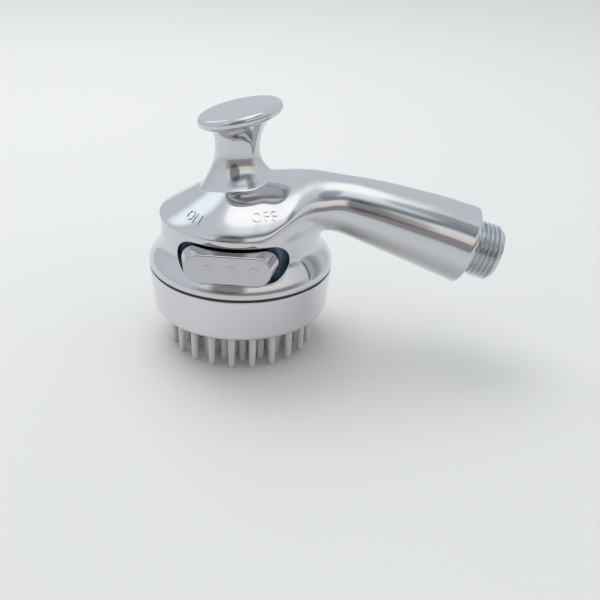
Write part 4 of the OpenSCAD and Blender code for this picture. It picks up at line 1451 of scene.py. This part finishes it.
def make_lamp(studio):
    """One large soft lamp above and behind, to the left. The plate doesn't mirror it."""
    lamp = bpy.data.lights.new("soft_lamp", "AREA")
    lamp.shape, (lamp.size, lamp.size_y) = "RECTANGLE", LAMP_SIZE
    lamp.energy = studio.lamp_level
    piece = place(bpy.data.objects.new("soft_lamp", lamp))
    piece.visible_glossy = False
    toward = unit(np.subtract(LAMP_TO, LAMP_AT))
    right = unit(np.cross(toward, (0, 0, 1)))
    aim(piece, right, np.cross(right, toward), toward, LAMP_AT)


def make_camera():
    """The camera, pitched down, turned to the left and rolled a little."""
    c, s = math.cos(CAMERA_PITCH), math.sin(CAMERA_PITCH)
    toward = np.array([-math.sin(CAMERA_TURN) * c, math.cos(CAMERA_TURN) * c, -s])
    right = np.array([math.cos(CAMERA_TURN), math.sin(CAMERA_TURN), 0])
    up = np.cross(right, toward)
    c, s = math.cos(CAMERA_ROLL), math.sin(CAMERA_ROLL)
    lens = bpy.data.cameras.new("camera")
    lens.lens, lens.sensor_width, lens.clip_start = CAMERA_LENS, 36.0, 0.01
    camera = place(bpy.data.objects.new("camera", lens))
    aim(camera, right * c + up * s, up * c - right * s, toward, np.multiply(CAMERA_AT, MM))
    bpy.context.scene.camera = camera


# ------------------------------------------------------------------ panel and registration

class SPRAYER_PT_panel(bpy.types.Panel):
    """Lists the steps and the sizes"""
    bl_idname = "SPRAYER_PT_panel"
    bl_label = "Bath sprayer"
    bl_space_type = "VIEW_3D"
    bl_region_type = "UI"
    bl_category = "Sprayer"

    def draw(self, context):
        for operator in OPERATORS:
            self.layout.operator(operator.bl_idname)
        for name, group in GROUPS.items():
            box = self.layout.box()
            for key in group.__annotations__:
                box.prop(getattr(context.scene, name), key)


GROUPS = {
    "sprayer_shell": ShellSizes, "sprayer_switch": SwitchSizes, "sprayer_brush": BrushSizes,
    "sprayer_thread": ThreadSizes, "sprayer_finishes": Finishes, "sprayer_studio": StudioSettings,
}
OPERATORS = (
    SPRAYER_OT_stage, SPRAYER_OT_finishes, SPRAYER_OT_shell, SPRAYER_OT_cap, SPRAYER_OT_ring,
    SPRAYER_OT_brush, SPRAYER_OT_nipple, SPRAYER_OT_switch,
)


def register():
    for cls in (*GROUPS.values(), *OPERATORS, SPRAYER_PT_panel):
        bpy.utils.register_class(cls)
    for name, group in GROUPS.items():
        setattr(bpy.types.Scene, name, PointerProperty(type=group))


def unregister():
    for name in GROUPS:
        delattr(bpy.types.Scene, name)
    for cls in (SPRAYER_PT_panel, *reversed(OPERATORS), *reversed(list(GROUPS.values()))):
        bpy.utils.unregister_class(cls)


def main():
    register()
    bpy.ops.sprayer.stage()
    bpy.ops.sprayer.finishes()
    bpy.ops.sprayer.shell()
    bpy.ops.sprayer.cap()
    bpy.ops.sprayer.ring()
    bpy.ops.sprayer.brush()
    bpy.ops.sprayer.nipple()
    bpy.ops.sprayer.switch()


if __name__ == "__main__":
    main()
